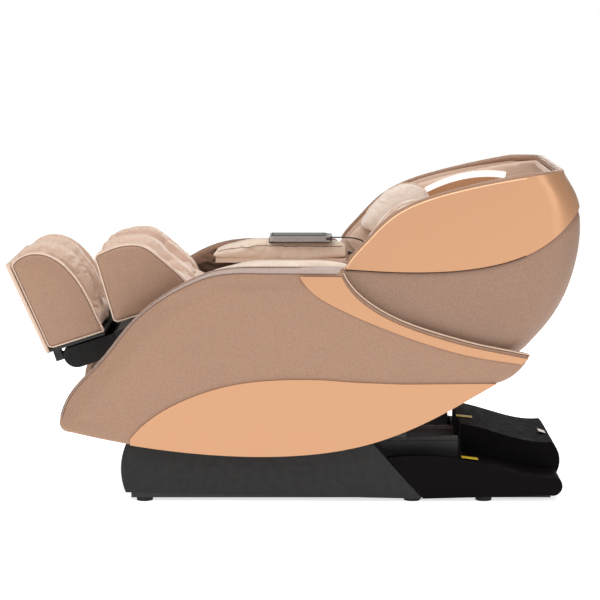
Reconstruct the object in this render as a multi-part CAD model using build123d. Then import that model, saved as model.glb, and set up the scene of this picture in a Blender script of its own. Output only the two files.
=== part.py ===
from build123d import *
from math import cos, sin, radians
import os

# A reclining massage chair. Millimetres, +Z up, the chair faces -Y, +X is the sitter's left.
# The origin is the centre of the base's footprint, on the floor. Nothing is folded or unfolded
# here: the model stands half reclined, with the leg rest raised.

# ---------------------------------------------------------------- driving dimensions
overall_width = 800.0      # outer faces of the two arm trims
base_length = 1344.0       # skid noses to the tail's rear end

trim_thickness = 6.0       # coloured trim panels
arm_shell_depth = 24.0     # arm side shells
arm_skin = 4.0             # wall of the arm side shells
arm_rim = 14.0             # width of the rim round an arm side shell
pod_gap = 5.0              # back pod to arm shell
pod_depth = 12.0           # back pod's side shells
liner_depth = 22.0         # padded liners inside the pod's wings
beam_gap = 17.0            # seat beams to the wing liners
beam_width = 30.0
beam_height = 40.0
plate = 10.0               # steel hinge plates
plate_gap = 2.0            # side play between neighbouring hinge plates
skid_width = 70.0
arm_overhang = 28.0        # arm pads past the seat beams
base_gap = 22.0            # base to arm shell
leg_gap = 18.0             # leg rest to skid
cover_wall = 4.0           # moulded base covers
panel_gap = 1.0            # trim panels to their neighbours

pin_radius = 10.0
pin_play = 0.05            # radial play of every hinge pin

foot_pad_height = 12.0
foot_pad_radius = 26.0
tube_height = 46.0         # base side tubes and cross tubes
rail_height = 12.0
shoe_height = 8.0

slide_back = 115.0         # carriage travel towards the tail

# ---------------------------------------------------------------- lateral layers, centre outwards
half_width = overall_width / 2
shell_outer = half_width - trim_thickness
shell_inner = shell_outer - arm_shell_depth
pod_outer = shell_inner - pod_gap
pod_side = pod_outer - trim_thickness
pod_inner = pod_side - pod_depth
liner_inner = pod_inner - liner_depth
beam_outer = liner_inner - beam_gap
beam_inner = beam_outer - beam_width
lug_inner = beam_inner - plate
post_outer = lug_inner - plate_gap
post_inner = post_outer - plate
bar_inner = post_inner - beam_width
base_half = shell_inner - base_gap
skid_inner = base_half - skid_width
leg_half = skid_inner - leg_gap
arm_inner = beam_inner - arm_overhang

# ---------------------------------------------------------------- pivots, as (y, z)
hip = (50.0, 505.0)        # back rest on the seat frame
knee = (-400.0, 560.0)     # leg rest on the seat frame
tilt = (-40.0, 300.0)      # seat frame on the carriage
leg_slope = 18.0           # leg rest below the horizontal
back_slope = 28.0          # back rest above the horizontal
back_foot = (30.0, 590.0)  # lower end of the back cushion's face

leg_plane = Plane(
    origin=(0, *knee),
    x_dir=(0, -cos(radians(leg_slope)), -sin(radians(leg_slope))),
    z_dir=(-1, 0, 0),
)
back_plane = Plane(
    origin=(0, *back_foot),
    x_dir=(0, cos(radians(back_slope)), sin(radians(back_slope))),
    z_dir=(1, 0, 0),
)


# ---------------------------------------------------------------- helpers
def face_on(plane, *edges):
    """A flat face on plane from edges drawn in that plane's own x and y."""
    return make_face([plane * edge for edge in edges])


def slab(face, x_low, x_high):
    """A face at x = 0, extruded from x_low to x_high."""
    flat = face.faces()[0]
    if flat.normal_at().X < 0:
        flat = -flat
    return Pos(x_low, 0, 0) * extrude(flat, amount=x_high - x_low)


def inset(face, amount):
    """The face shrunk by amount all round."""
    return offset(face, amount=-amount).faces()[0].to_splines()


def box(x, y, z):
    """A box from (low, high) pairs."""
    size = [high - low for low, high in (x, y, z)]
    middle = [(low + high) / 2 for low, high in (x, y, z)]
    return Pos(*middle) * Box(*size)


def local_box(plane, x, s, n):
    """A box on plane: s and n are (low, high) along the plane's own axes, x is in the model's."""
    corners = [(s[0], n[0]), (s[1], n[0]), (s[1], n[1]), (s[0], n[1])]
    return slab(face_on(plane, Polyline(*corners, close=True)), *x)


def local_point(plane, s, n):
    """(y, z) of a point given on plane."""
    at = plane.from_local_coords((s, n, 0))
    return at.Y, at.Z


def rod_x(at, radius, x_low, x_high):
    """A round bar along X at at = (y, z)."""
    bar = Rot(0, 90, 0) * Cylinder(radius, x_high - x_low)
    return Pos((x_low + x_high) / 2, *at) * bar


def rod_y(at, radius, y_low, y_high):
    """A round bar along Y at at = (x, z)."""
    bar = Rot(90, 0, 0) * Cylinder(radius, y_high - y_low)
    return Pos(at[0], (y_low + y_high) / 2, at[1]) * bar


def other_side(part):
    return mirror(part, about=Plane.YZ)


def both(part):
    """The part and its mirror image, as separate solids."""
    return Compound(children=[*part.solids(), *other_side(part).solids()])


def group(*parts):
    return Compound(children=[solid for part in parts for solid in part.solids()])


def rounded(part, radius, axis=Axis.X):
    """Rounds the edges that run along axis."""
    return fillet(part.edges().filter_by(axis), radius)


# ---------------------------------------------------------------- base
tail_end = base_length / 2
skid_nose = -base_length / 2
side_tube_bottom = foot_pad_height
side_tube_top = side_tube_bottom + tube_height
tube_clearance = 6.0
side_tube_inner = skid_inner + cover_wall + tube_clearance
side_tube_outer = base_half - cover_wall - tube_clearance
deck_front = tail_end - 300
rail_beam_front = -185.0
rail_beam_rear = deck_front - 12
rail_beam_top = 170.0
rail_top = rail_beam_top + rail_height
power_tube_y = deck_front + 68
cross_tube_y = (rail_beam_front + 20, 0.0, rail_beam_rear - 30)
cross_tube_width = 40.0
seam_top_y = 95.0          # skid cover to tail cover, along the top
seam_foot_y = 245.0        # and along the floor
seam_gap = 3.0
skid_top = 180.0
skid_floor_front = 30.0    # the covers' lower edge, which rises towards the nose
skid_floor_rear = 10.0
deck_crown = 78.0          # how far the deck's middle stands above its sides
wheel_radius = 22.0
wheel_y = tail_end - 152
wheel_x = 150.0
wheel_width = 26.0
axle_radius = 6.0
wheel_floor_gap = 2.0
wheel_z = wheel_radius + wheel_floor_gap
axle_lug_gap = 2.0


def base_frame():
    end_clearance = 30.0
    tube = box(
        (side_tube_inner, side_tube_outer),
        (skid_nose + end_clearance, tail_end - end_clearance - cover_wall),
        (side_tube_bottom, side_tube_top),
    )
    rail_beam = box(
        (bar_inner, post_inner),
        (rail_beam_front, rail_beam_rear),
        (side_tube_top, rail_beam_top),
    )
    frame = tube + other_side(tube) + rail_beam + other_side(rail_beam)
    for y in (*cross_tube_y, power_tube_y, wheel_y + 60):
        frame += box(
            (-side_tube_inner, side_tube_inner),
            (y - cross_tube_width / 2, y + cross_tube_width / 2),
            (side_tube_bottom, side_tube_top),
        )
    lug = box(
        (wheel_x + wheel_width / 2 + axle_lug_gap, wheel_x + wheel_width / 2 + axle_lug_gap + plate),
        (wheel_y - 14, wheel_y + 60 - cross_tube_width / 2),
        (wheel_z - 11, side_tube_top),
    )
    lug -= rod_x((wheel_y, wheel_z), axle_radius + pin_play, 0, half_width)
    return frame + lug + other_side(lug)


def slide_rails():
    rail = box(
        (bar_inner + 4, post_inner - 4),
        (rail_beam_front, rail_beam_rear),
        (rail_beam_top, rail_top),
    )
    return both(rail)


def skid_outline():
    return face_on(
        Plane.YZ,
        Line((skid_nose + 14, skid_floor_front), (seam_foot_y, skid_floor_rear)),
        Line((seam_foot_y, skid_floor_rear), (seam_top_y, skid_top)),
        Line((seam_top_y, skid_top), (skid_nose + 16, skid_top)),
        ThreePointArc(
            (skid_nose + 16, skid_top),
            (skid_nose, (skid_top + skid_floor_front) / 2),
            (skid_nose + 14, skid_floor_front),
        ),
    )


def skid_covers():
    outline = skid_outline()
    cover = slab(outline, skid_inner, base_half)
    inside = slab(inset(outline, cover_wall), skid_inner, base_half)
    inside = inside & box(
        (skid_inner + cover_wall, base_half - cover_wall),
        (-base_length, base_length),
        (0, skid_top),
    )
    below = box(
        (skid_inner + cover_wall, base_half - cover_wall),
        (skid_nose + 24, seam_foot_y + 1),
        (0, side_tube_top + tube_clearance),
    )
    mouth = box(
        (skid_inner - 1, skid_inner + cover_wall + 1),
        (rail_beam_front - 25, seam_foot_y + 1),
        (0, side_tube_top + tube_clearance),
    )
    return both(cover - inside - below - mouth)


def tail_outline(lift):
    """The tail's side view; lift raises its top edge."""
    return face_on(
        Plane.YZ,
        Line((seam_foot_y + seam_gap, skid_floor_rear), (seam_top_y + 40 + seam_gap, 136)),
        Spline(
            (seam_top_y + 40 + seam_gap, 136),
            (deck_front - 40, 137 + lift),
            (deck_front + 98, 110 + lift),
            (tail_end - 80, 78 + lift),
            (tail_end - 16, 76 + lift),
        ),
        ThreePointArc(
            (tail_end - 16, 76 + lift),
            (tail_end, 56),
            (tail_end - 38, 20),
        ),
        Line((tail_end - 38, 20), (seam_foot_y + seam_gap, skid_floor_rear)),
    )


def tail_cover():
    side_wall = 26.0
    low = tail_outline(0)
    walls = slab(low, base_half - side_wall, base_half)
    walls -= box(
        (base_half - side_wall - 1, base_half - cover_wall),
        (seam_top_y, tail_end - 24),
        (0, side_tube_top + tube_clearance),
    )
    deck_side = slab(low, -(base_half - side_wall), base_half - side_wall)
    crown_half = 190.0
    raised = slab(tail_outline(deck_crown), -crown_half, crown_half)
    raised = raised & box((-half_width, half_width), (deck_front, base_length), (0, 400))
    deck = deck_side & box((-half_width, half_width), (deck_front, base_length), (0, 400))
    hollow = box(
        (-(base_half - side_wall), base_half - side_wall),
        (deck_front + cover_wall, tail_end - 24),
        (0, side_tube_top + tube_clearance),
    )
    hollow += box(
        (-base_half + cover_wall, base_half - cover_wall),
        (deck_front - 1, tail_end - 24),
        (0, side_tube_top + tube_clearance),
    )
    under_crown = crown_half - cover_wall
    crown_hollow = slab(tail_outline(deck_crown - 2 * cover_wall), -under_crown, under_crown)
    crown_hollow = crown_hollow & box(
        (-half_width, half_width),
        (deck_front + cover_wall, tail_end - 24),
        (0, 400),
    )
    return deck + raised + walls + other_side(walls) - hollow - crown_hollow


foot_pad_y = (skid_nose + 70, seam_foot_y - 29, deck_front + 63)


def rubber_feet():
    pads = [
        Pos(side * (side_tube_inner + side_tube_outer) / 2, y, foot_pad_height / 2)
        * Cylinder(min(foot_pad_radius, (side_tube_outer - side_tube_inner) / 2), foot_pad_height)
        for side in (-1, 1)
        for y in foot_pad_y
    ]
    centre = Pos(0, 0, foot_pad_height / 2) * Box(90, 36, foot_pad_height)
    return group(centre, *pads)


def power_box():
    low = power_tube_y - 40
    return rounded(box((-130, 130), (low, low + 100), (side_tube_top, 128)), 6, Axis.Z)


inlet_x = -90.0
switch_x = 90.0
inlet_z = 50.0
switch_width = 20.0
switch_height = 26.0
switch_play = 0.6
switch_y = tail_end - 12


def power_panel():
    return box((-125, 125), (tail_end - 24, tail_end - 13), (33, 66))


def mains_inlet():
    """A panel with the power inlet's socket and the opening for the rocker switch."""
    panel = power_panel()
    socket = box(
        (inlet_x - 14, inlet_x + 14),
        (tail_end - 24 + 2, tail_end),
        (inlet_z - 10, inlet_z + 10),
    )
    hole = box(
        (switch_x - switch_width / 2 - switch_play, switch_x + switch_width / 2 + switch_play),
        (tail_end - 30, tail_end),
        (inlet_z - switch_height / 2 - 2, inlet_z + switch_height / 2 + 2),
    )
    return panel - socket - hole


def power_switch():
    at = (switch_y - 6, inlet_z)
    rocker = box(
        (switch_x - switch_width / 2, switch_x + switch_width / 2),
        (switch_y - 9, switch_y + 3),
        (inlet_z - switch_height / 2 + 2, inlet_z + switch_height / 2 - 2),
    )
    return rocker & rod_x(at, switch_height / 2 - 1, 0, half_width)


def tail_window():
    """The opening in the tail's rear wall for the power panel."""
    return extrude(power_panel().faces().sort_by(Axis.Y)[-1], amount=base_length) + power_panel()


def wheels():
    wheel = rod_x((wheel_y, wheel_z), wheel_radius, wheel_x - wheel_width / 2, wheel_x + wheel_width / 2)
    wheel = wheel - rod_x((wheel_y, wheel_z), axle_radius, 0, half_width)
    return both(chamfer(wheel.edges().filter_by(GeomType.CIRCLE).sort_by(Axis.X)[-1:], 2))


def wheel_axle():
    reach = wheel_x + wheel_width / 2 + axle_lug_gap + plate + 3
    return rod_x((wheel_y, wheel_z), axle_radius, -reach, reach)


# ---------------------------------------------------------------- slide carriage
carriage_bottom = rail_top + shoe_height
carriage_top = carriage_bottom + 25
carriage_front = -105.0
carriage_rear = rail_beam_rear - slide_back - 45
slide_lug_y = -60.0
slide_z = 150.0
slide_rod_radius = 9.0
slide_bore_play = 1.0
slide_rod_length = rail_beam_rear - slide_lug_y - slide_back - 65
tilt_arm = 70.0            # tilt pivot to the tilt actuator's pin
tilt_pin_radius = 8.0
tilt_x = -120.0
tilt_post = 12.0


def carriage_frame():
    bar = box((bar_inner, post_inner), (carriage_front, carriage_rear), (carriage_bottom, carriage_top))
    post = box(
        (post_inner, post_outer),
        (tilt[0] - 45, tilt[0] + 45),
        (carriage_bottom, tilt[1] + 26),
    )
    post = rounded(post, 20)
    pin = rod_x(tilt, pin_radius, post_inner, beam_inner - 1)
    side = bar + post + pin
    frame = side + other_side(side)
    for y in (carriage_front, carriage_rear - 30):
        frame += box((-bar_inner, bar_inner), (y, y + 30), (carriage_bottom, carriage_top))
    spine = box(
        (tilt_x - 20, tilt_x + 20),
        (carriage_front, carriage_rear),
        (carriage_bottom, carriage_top),
    )
    mast = box(
        (tilt_x - tilt_post / 2, tilt_x + tilt_post / 2),
        (tilt[0] - 15, tilt[0] + 15),
        (carriage_bottom, tilt[1] + tilt_arm + 14),
    )
    mast_pin = rod_x((tilt[0], tilt[1] + tilt_arm), tilt_pin_radius, tilt_x - 17, tilt_x + 17)
    lug = box((-12, 12), (slide_lug_y - 6, slide_lug_y + 6), (slide_z - 16, carriage_top))
    cross = box(
        (-bar_inner, bar_inner),
        (slide_lug_y - 12, slide_lug_y + 12),
        (carriage_bottom, carriage_top),
    )
    return frame + spine + mast + mast_pin + lug + cross


def glide_shoes():
    shoes = [
        box((bar_inner + 5, post_inner - 5), (y, y + 60), (rail_top, carriage_bottom))
        for y in (carriage_front, carriage_rear - 60)
    ]
    return both(group(*shoes))


def slide_rod():
    return rod_y((0, slide_z), slide_rod_radius, slide_lug_y + 6, slide_lug_y + slide_rod_length)


def slide_actuator():
    """Tube and gear motor that push the carriage, on the base's cross tubes."""
    near = slide_lug_y + slide_back + 12
    tube = rod_y((0, slide_z), slide_rod_radius + 9, near, rail_beam_rear)
    motor = rod_y((44, slide_z), 20, near + 120, rail_beam_rear)
    gearbox = rounded(box((-20, 66), (near + 90, near + 120), (slide_z - 22, slide_z + 22)), 8, Axis.Y)
    foot = box((-20, 20), (cross_tube_y[2] - 15, cross_tube_y[2] + 15), (side_tube_top, slide_z - 4))
    bore = rod_y((0, slide_z), slide_rod_radius + slide_bore_play, near - 1, rail_beam_rear - 10)
    return tube + motor + gearbox + foot - bore


# ---------------------------------------------------------------- seat frame
beam_bottom = 430.0
beam_top = beam_bottom + beam_height
front_tube_y = -345.0
rear_tube_y = -60.0
cross_beam = 30.0
shelf_thickness = 5.0
knee_lug_outer = leg_half - 22
knee_tube_radius = 16.0
recline_arm = 110.0
recline_lead = 8.0         # lever's lean at rest, so that it is upright halfway through its travel
recline_pin_radius = 8.0
recline_lever = 12.0


def seat_frame():
    beam = box((beam_inner, beam_outer), (front_tube_y, hip[0] + 45), (beam_bottom, beam_top))
    upright = box((lug_inner, beam_inner), (hip[0] - 36, hip[0] + 36), (beam_bottom, hip[1] + 28))
    upright = rounded(upright, 16)
    upright -= rod_x(hip, pin_radius + pin_play, 0, half_width)
    hanger = box((lug_inner, beam_inner), (tilt[0] - 30, tilt[0] + 30), (tilt[1] - 24, beam_top))
    hanger = rounded(hanger, 12)
    hanger -= rod_x(tilt, pin_radius + pin_play, 0, half_width)
    knee_lug = slab(
        face_on(
            Plane.YZ,
            Polyline(
                (knee[0] - 14, knee[1] + 14),
                (knee[0] + 14, knee[1] + 14),
                (front_tube_y + cross_beam, beam_bottom + 24),
                (front_tube_y + cross_beam, beam_bottom),
                (front_tube_y, beam_bottom),
                close=True,
            ),
        ),
        knee_lug_outer - plate,
        knee_lug_outer,
    )
    knee_lug = knee_lug + rod_x(knee, 22, knee_lug_outer - plate, knee_lug_outer)
    knee_lug -= rod_x(knee, pin_radius + pin_play, 0, half_width)
    side = beam + upright + hanger + knee_lug
    frame = side + other_side(side)
    for y in (front_tube_y, rear_tube_y):
        frame += box((-beam_inner, beam_inner), (y, y + cross_beam), (beam_bottom, beam_top))
    shelf = box(
        (-leg_half + 60, leg_half - 60),
        (front_tube_y, rear_tube_y + 12),
        (beam_bottom - shelf_thickness, beam_bottom),
    )
    arm_bracket = box((beam_outer, shell_inner), (-330, -290), (beam_bottom + 8, beam_top))
    arm_bracket += box((beam_outer, shell_inner), (-170, -130), (beam_bottom + 8, beam_top))
    return frame + shelf + arm_bracket + other_side(arm_bracket)


pan_thickness = 10.0
knee_room = 46.0           # radius kept clear for the leg frame's turning arms
motor_low = 60.0
motor_high = 92.0
motor_rear = -318.0
seat_front = -398.0
seat_rear = -26.0
seat_half = arm_inner - 4
seat_top_front = 600.0
seat_top_rear = 572.0


def seat_pan():
    low = beam_top
    half = arm_inner - 1
    pan = box((-half, half), (front_tube_y + cross_beam, seat_rear - 12), (low, low + pan_thickness))
    return rounded(pan, 20, Axis.Z)


def seat_cushion():
    bottom = beam_top + pan_thickness
    half = seat_half
    outline = face_on(
        Plane.YZ,
        Line((seat_front + 50, bottom), (seat_rear, bottom)),
        Line((seat_rear, bottom), (seat_rear, seat_top_rear)),
        Spline(
            (seat_rear, seat_top_rear),
            (-230, 578),
            (seat_front + 40, seat_top_front),
            tangents=((-1, 0), (-1, 0.1)),
        ),
        ThreePointArc(
            (seat_front + 40, seat_top_front),
            (seat_front, seat_top_front - 42),
            (seat_front + 50, bottom),
        ),
    )
    cushion = slab(outline, -half, half) - rod_x(knee, knee_room, -half, half)
    lug = box(
        (leg_arm_inner - 4, half + 1),
        (knee[0] - 20, front_tube_y + cross_beam + 4),
        (0, knee[1] + 22),
    )
    motor = box((motor_low - 4, motor_high + 4), (knee[0] - 20, motor_rear + 4), (0, knee[1] + 10))
    return cushion - lug - other_side(lug) - motor


# ---------------------------------------------------------------- arms
arm_top = 727.0
arm_pad_bottom = 672.0
tray_thickness = 12.0
arm_pad_front = -418.0
arm_pad_level = -262.0     # the pad slopes down in front of here
arm_pad_rear = 30.0
wing_slot_front = -122.0   # behind here the arm pads leave room for the pod's wings
wing_slot_gap = 9.0
bolster_top = 585.0
arm_corner = (3.0, 712.0)
pod_lap = 22.0             # how far the pod's sides reach down behind the arm shells

arm_seam = [arm_corner, (58.0, 640.0), (141.0, 585.0), (251.0, 540.0), (389.0, 500.0), (564.0, 464.0)]
arm_keel_rear = (464.0, 375.0)
arm_keel_front = (-820.0, 225.0)
arm_keel = [arm_keel_rear, (351.0, 309.0), (93.0, 193.0), (-195.0, 152.0), (-481.0, 165.0), arm_keel_front]
arm_brow = [(-851.0, 262.0), (-735.0, 435.0), (-614.0, 580.0), (-467.0, 682.0), (-267.0, arm_top)]
arm_shoulder = (arm_corner[0] - 30, arm_top)
arm_nose = (-847.0, 238.0)
arm_tail = (530.0, 412.0)


def arm_outline():
    """Side view of an arm: nose at the feet, brow over the legs, seam under the back pod."""
    return face_on(
        Plane.YZ,
        Spline(*arm_brow, tangents=((0.15, 1), (1, 0))),
        Line(arm_brow[-1], arm_shoulder),
        ThreePointArc(arm_shoulder, (arm_corner[0] - 9, arm_top - 4), arm_corner),
        Spline(*arm_seam, tangents=((0.45, -1), (1, -0.2))),
        ThreePointArc(arm_seam[-1], arm_tail, arm_keel[0]),
        Spline(*arm_keel, tangents=((-0.9, -0.5), (-1, 0.25))),
        ThreePointArc(arm_keel[-1], arm_nose, arm_brow[0]),
    )


def arm_shell():
    outline = arm_outline()
    shell = slab(outline, shell_inner, shell_outer)
    inside = slab(inset(outline, arm_rim), shell_inner, shell_outer - arm_skin)
    return shell - inside


def arm_liner():
    """The board that closes an arm shell on the inside, with the tray under the arm pad."""
    outline = inset(arm_outline(), arm_rim + panel_gap)
    board = slab(outline, shell_inner, shell_inner + arm_skin)
    tray = box(
        (arm_inner + 6, shell_inner),
        (arm_pad_front + 14, wing_slot_front - 4),
        (arm_pad_bottom - tray_thickness, arm_pad_bottom),
    )
    tray += box(
        (arm_inner + 6, liner_inner - wing_slot_gap),
        (wing_slot_front - 5, arm_pad_rear - 6),
        (arm_pad_bottom - tray_thickness, arm_pad_bottom),
    )
    return board + tray


def arm_pad():
    """A long pad whose front slopes down with the arm's brow; its rear is narrower beside the pod's wing."""
    bottom, front, rear = arm_pad_bottom, arm_pad_front, arm_pad_rear
    outline = face_on(
        Plane.YZ,
        Line((rear, bottom), (front + 10, bottom)),
        ThreePointArc((front + 10, bottom), (front, bottom + 8), (front + 6, bottom + 18)),
        Spline(
            (front + 6, bottom + 18),
            (arm_pad_level - 72, arm_top - 13),
            (arm_pad_level, arm_top),
            tangents=((1, 0.6), (1, 0)),
        ),
        Line((arm_pad_level, arm_top), (rear - 20, arm_top)),
        ThreePointArc((rear - 20, arm_top), (rear - 6, arm_top - 6), (rear, arm_top - 20)),
        Line((rear, arm_top - 20), (rear, bottom)),
    )
    slot = box(
        (liner_inner - wing_slot_gap, half_width),
        (wing_slot_front, base_length),
        (bottom - 1, arm_top + 1),
    )
    return slab(outline, arm_inner, shell_inner - panel_gap) - slot


def seat_bolster():
    pad = box((arm_inner, beam_outer), (-392, -40), (beam_top + 1, bolster_top))
    return fillet(pad.edges().filter_by(Axis.Y).group_by(Axis.Z)[-1], 14)


lower_panel_nose = (-639.0, 205.0)
lower_panel_end = (182.0, 373.0)
lower_panel_crest = [(-536.0, 293.0), (-438.0, 339.0), (-266.0, 380.0), (-60.0, 386.0)]
lower_panel_top = [lower_panel_nose, *lower_panel_crest, lower_panel_end]
strip_lower = [(-128.0, 699.0), (-11.0, 602.0), (182.0, 520.0), (361.0, 464.0), (537.0, 434.0)]
strip_lead = 14.0          # strip below the seam


def lower_panel():
    """The coloured panel along an arm's belly."""
    region = face_on(
        Plane.YZ,
        Spline(*lower_panel_top, tangents=((0.7, 0.9), (1, -0.03))),
        Line(lower_panel_top[-1], (600.0, 376.0)),
        Line((600.0, 376.0), (600.0, 0.0)),
        Line((600.0, 0.0), (lower_panel_nose[0], 0.0)),
        Line((lower_panel_nose[0], 0.0), lower_panel_nose),
    )
    return slab(region & arm_outline(), shell_outer, half_width)


def arm_strip():
    """The coloured sash under the back pod's seam."""
    below = [(y - strip_lead * 0.45, z - strip_lead) for y, z in arm_seam]
    region = face_on(
        Plane.YZ,
        Spline(*strip_lower, tangents=((0.5, -1), (1, -0.15))),
        Line(strip_lower[-1], below[-1]),
        Spline(*reversed(below), tangents=((-1, 0.2), (-0.45, 1))),
        Line(below[0], strip_lower[0]),
    )
    return slab(region & arm_outline(), shell_outer, half_width)


# ---------------------------------------------------------------- actuators under the seat
actuator_radius = 23.0
rod_radius = 10.0
rod_play = 0.5
yoke_plate = 5.0
yoke_gap = 2.0
slot_play = 1.5
recline_rod_z = hip[1] - recline_arm + 6.5
tilt_rod_z = tilt[1] + tilt_arm
recline_pin_y = hip[0] - recline_arm * sin(radians(recline_lead))
tube_rear = -112.0
tube_front = -330.0


def actuator(x, z):
    """A linear actuator's tube and motor, hung from the seat frame's shelf."""
    tube = rod_y((x, z), actuator_radius, tube_front, tube_rear)
    motor = rod_y((x + 46, z), 19, tube_front, tube_front + 110)
    gearbox = box((x - 22, x + 62), (tube_front + 110, tube_front + 134), (z - 22, z + 22))
    top = beam_bottom - shelf_thickness
    hanger = box((x - 16, x + 16), (tube_rear - 60, tube_rear - 30), (z, top))
    bore = rod_y((x, z), rod_radius + rod_play, tube_front + 10, tube_rear + 1)
    return tube + rounded(gearbox, 8, Axis.Y) + motor + hanger - bore


def push_actuators():
    return group(actuator(0, recline_rod_z), actuator(tilt_x, tilt_rod_z))


def push_rod(x, z, pin_y, pin_radius_, gap, reach):
    """A rod whose forked end holds a lever's pin in a slot; reach is how far the pin rises and falls."""
    half_fork = gap + yoke_plate
    stem = rod_y((x, z), rod_radius, tube_front + 70, pin_y - 34)
    web = box((x - half_fork, x + half_fork), (pin_y - 40, pin_y - 30), (z - 12, z + 12))
    cheek = box((x + gap, x + half_fork), (pin_y - 40, pin_y + 17), (z - reach - 16, z + reach + 16))
    slot = box(
        (x - half_fork - 1, x + half_fork + 1),
        (pin_y - pin_radius_ - slot_play, pin_y + pin_radius_ + slot_play),
        (z - reach - pin_radius_, z + reach + pin_radius_),
    )
    other = Pos(-half_fork - gap, 0, 0) * cheek
    return stem + web + (cheek + other - slot)


def recline_rod():
    gap = recline_lever / 2 + yoke_gap
    return push_rod(0, recline_rod_z, recline_pin_y, recline_pin_radius, gap, 8)


def tilt_rod():
    gap = tilt_post / 2 + yoke_gap
    return push_rod(tilt_x, tilt_rod_z, tilt[0], tilt_pin_radius, gap, 4)


def air_pump():
    top = beam_bottom - shelf_thickness
    body = rounded(box((96, 196), (-310, -150), (top - 105, top)), 12, Axis.Y)
    for y in (-290, -170):
        body += rod_x((y, top - 50), 8, 80, 100)
    return body


def leg_gearmotor():
    """The worm gear motor that turns the knee tube."""
    ring = rod_x(knee, 34, motor_low, motor_high)
    block = box((motor_low, motor_high), (knee[0] + 20, motor_rear), (beam_top, knee[1] - 6))
    return ring + block - rod_x(knee, knee_tube_radius + 1, 0, half_width)


# ---------------------------------------------------------------- remote control
remote_low_x = -(liner_inner - 7)
remote_width = 90.0
remote_rear = -22.0
remote_length = 204.0
remote_thickness = 19.0
cradle_thickness = 5.0
cradle_lip = 3.0
cradle_gap = 0.5
cord_radius = 2.25
key_travel = 1.2
key_height = 2.4
key_size = 9.0
key_pitch = 20.0
remote_bottom = arm_top + cradle_thickness
remote_high_x = remote_low_x + remote_width
cord_x = (remote_low_x + remote_high_x) / 2
cord_exit_z = remote_bottom + remote_thickness / 2
gland_z = 690.0
gland_length = 9.0
cord_route = [
    (cord_x, remote_rear, cord_exit_z),
    (cord_x, 10.0, cord_exit_z),
    (cord_x, 56.0, cord_exit_z - 2),
    (cord_x + 2, 88.0, cord_exit_z - 16),
    (cord_x + 2, 88.0, gland_z + 16),
    (cord_x, 70.0, gland_z),
    (cord_x, arm_pad_rear + gland_length, gland_z),
]


def remote_cradle():
    tray = box(
        (remote_low_x - cradle_lip, remote_high_x - 16),
        (remote_rear - remote_length - cradle_lip, remote_rear - 20),
        (arm_top, remote_bottom - cradle_gap),
    )
    lip = box(
        (remote_low_x - cradle_lip, remote_high_x - 16),
        (remote_rear - remote_length - cradle_lip, remote_rear - remote_length - cradle_gap),
        (arm_top, remote_bottom + 5),
    )
    return tray + lip


def remote_body():
    body = box(
        (remote_low_x, remote_high_x),
        (remote_rear - remote_length, remote_rear),
        (remote_bottom, remote_bottom + remote_thickness),
    )
    body = rounded(body, 12, Axis.Z)
    top = remote_bottom + remote_thickness
    for x in key_places():
        well = key_size / 2 + 0.4
        body -= box(
            (x - well, x + well),
            (remote_rear - 20 - well, remote_rear - 20 + well),
            (top - key_height - key_travel - 1, top + 1),
        )
    return body


def key_places():
    return [cord_x + key_pitch * n for n in (-1, 0, 1)]


def remote_key(x):
    top = remote_bottom + remote_thickness + key_travel
    key = Pos(x, remote_rear - 20, top - (key_height + key_travel) / 2) * Box(
        key_size, key_size, key_height + key_travel
    )
    return rounded(key, 2, Axis.Z)


def remote_screen():
    """The dark glass over the front of the remote's top."""
    glass = box(
        (remote_low_x + 5, remote_high_x - 5),
        (remote_rear - remote_length + 12, remote_rear - 36),
        (remote_bottom + remote_thickness, remote_bottom + remote_thickness + 2),
    )
    return rounded(glass, 6, Axis.Z)


def cord_radii(points):
    """Each corner's arc, as large as its two runs allow."""
    radii = []
    for before, at, after in zip(points, points[1:], points[2:]):
        first, second = Vector(at) - Vector(before), Vector(after) - Vector(at)
        turn = radians(first.get_angle(second))
        radii.append(0.45 * min(first.length, second.length) / (sin(turn / 2) / cos(turn / 2)))
    return radii


def remote_cord():
    radii = cord_radii(cord_route)
    print("cord radii", [round(r, 1) for r in radii])
    path = FilletPolyline(*cord_route, radius=radii)
    section = Plane(origin=path @ 0, z_dir=path % 0) * Circle(cord_radius)
    tube = sweep(section, path)
    print("cord length", round(path.length, 1), "volume over section", round(tube.volume / section.area, 1))
    return tube


def cord_gland():
    barrel = rod_y((cord_x, gland_z), cord_radius + 3.5, arm_pad_rear, arm_pad_rear + gland_length)
    return chamfer(barrel.edges().sort_by(Axis.Y)[-1:], 1.5)


# ---------------------------------------------------------------- back rest
rail_low_n, rail_high_n = -165.0, -125.0
back_rail_start, back_rail_end = -60.0, 650.0
back_cushion_half = arm_inner - 25
back_cushion_depth = 85.0
hinge_tube_radius = 20.0
track_inner, track_outer = 150.0, 168.0
pod_rim = [(15.0, 732.0), (65.0, 792.0), (139.0, 867.0), (299.0, 941.0), (497.0, 985.0), (667.0, 1008.0)]
pod_rear_upper = [pod_rim[-1], (700.0, 950.0), (726.0, 835.0), (714.0, 730.0)]
pod_rear_lower = [(684.0, 636.0), (632.0, 548.0), (572.0, 480.0)]
pod_rear = [*pod_rear_upper, *pod_rear_lower]
pod_crease = [(3.0, 716.0), (140.0, 708.0), (300.0, 708.0), (473.0, 732.0), (600.0, 785.0), (714.0, 894.0)]
rear_wall = 8.0
pod_corner = 100.0         # rounded rear corners, seen from above
pod_front = -60.0
pod_levels = [(690.0, 1060.0), *pod_rear, (500.0, 400.0), (470.0, 370.0)]
pod_heel = (230.0, 400.0)  # front end of the pod's underside


def lap_edge():
    """The lower edge of the pod's sides, behind the arm shells, from rear to front."""
    lap = [(y - 0.45 * pod_lap, z - pod_lap) for y, z in arm_seam]
    return Spline(*reversed(lap), tangents=((-1, 0.2), (-0.45, 1)))


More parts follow.
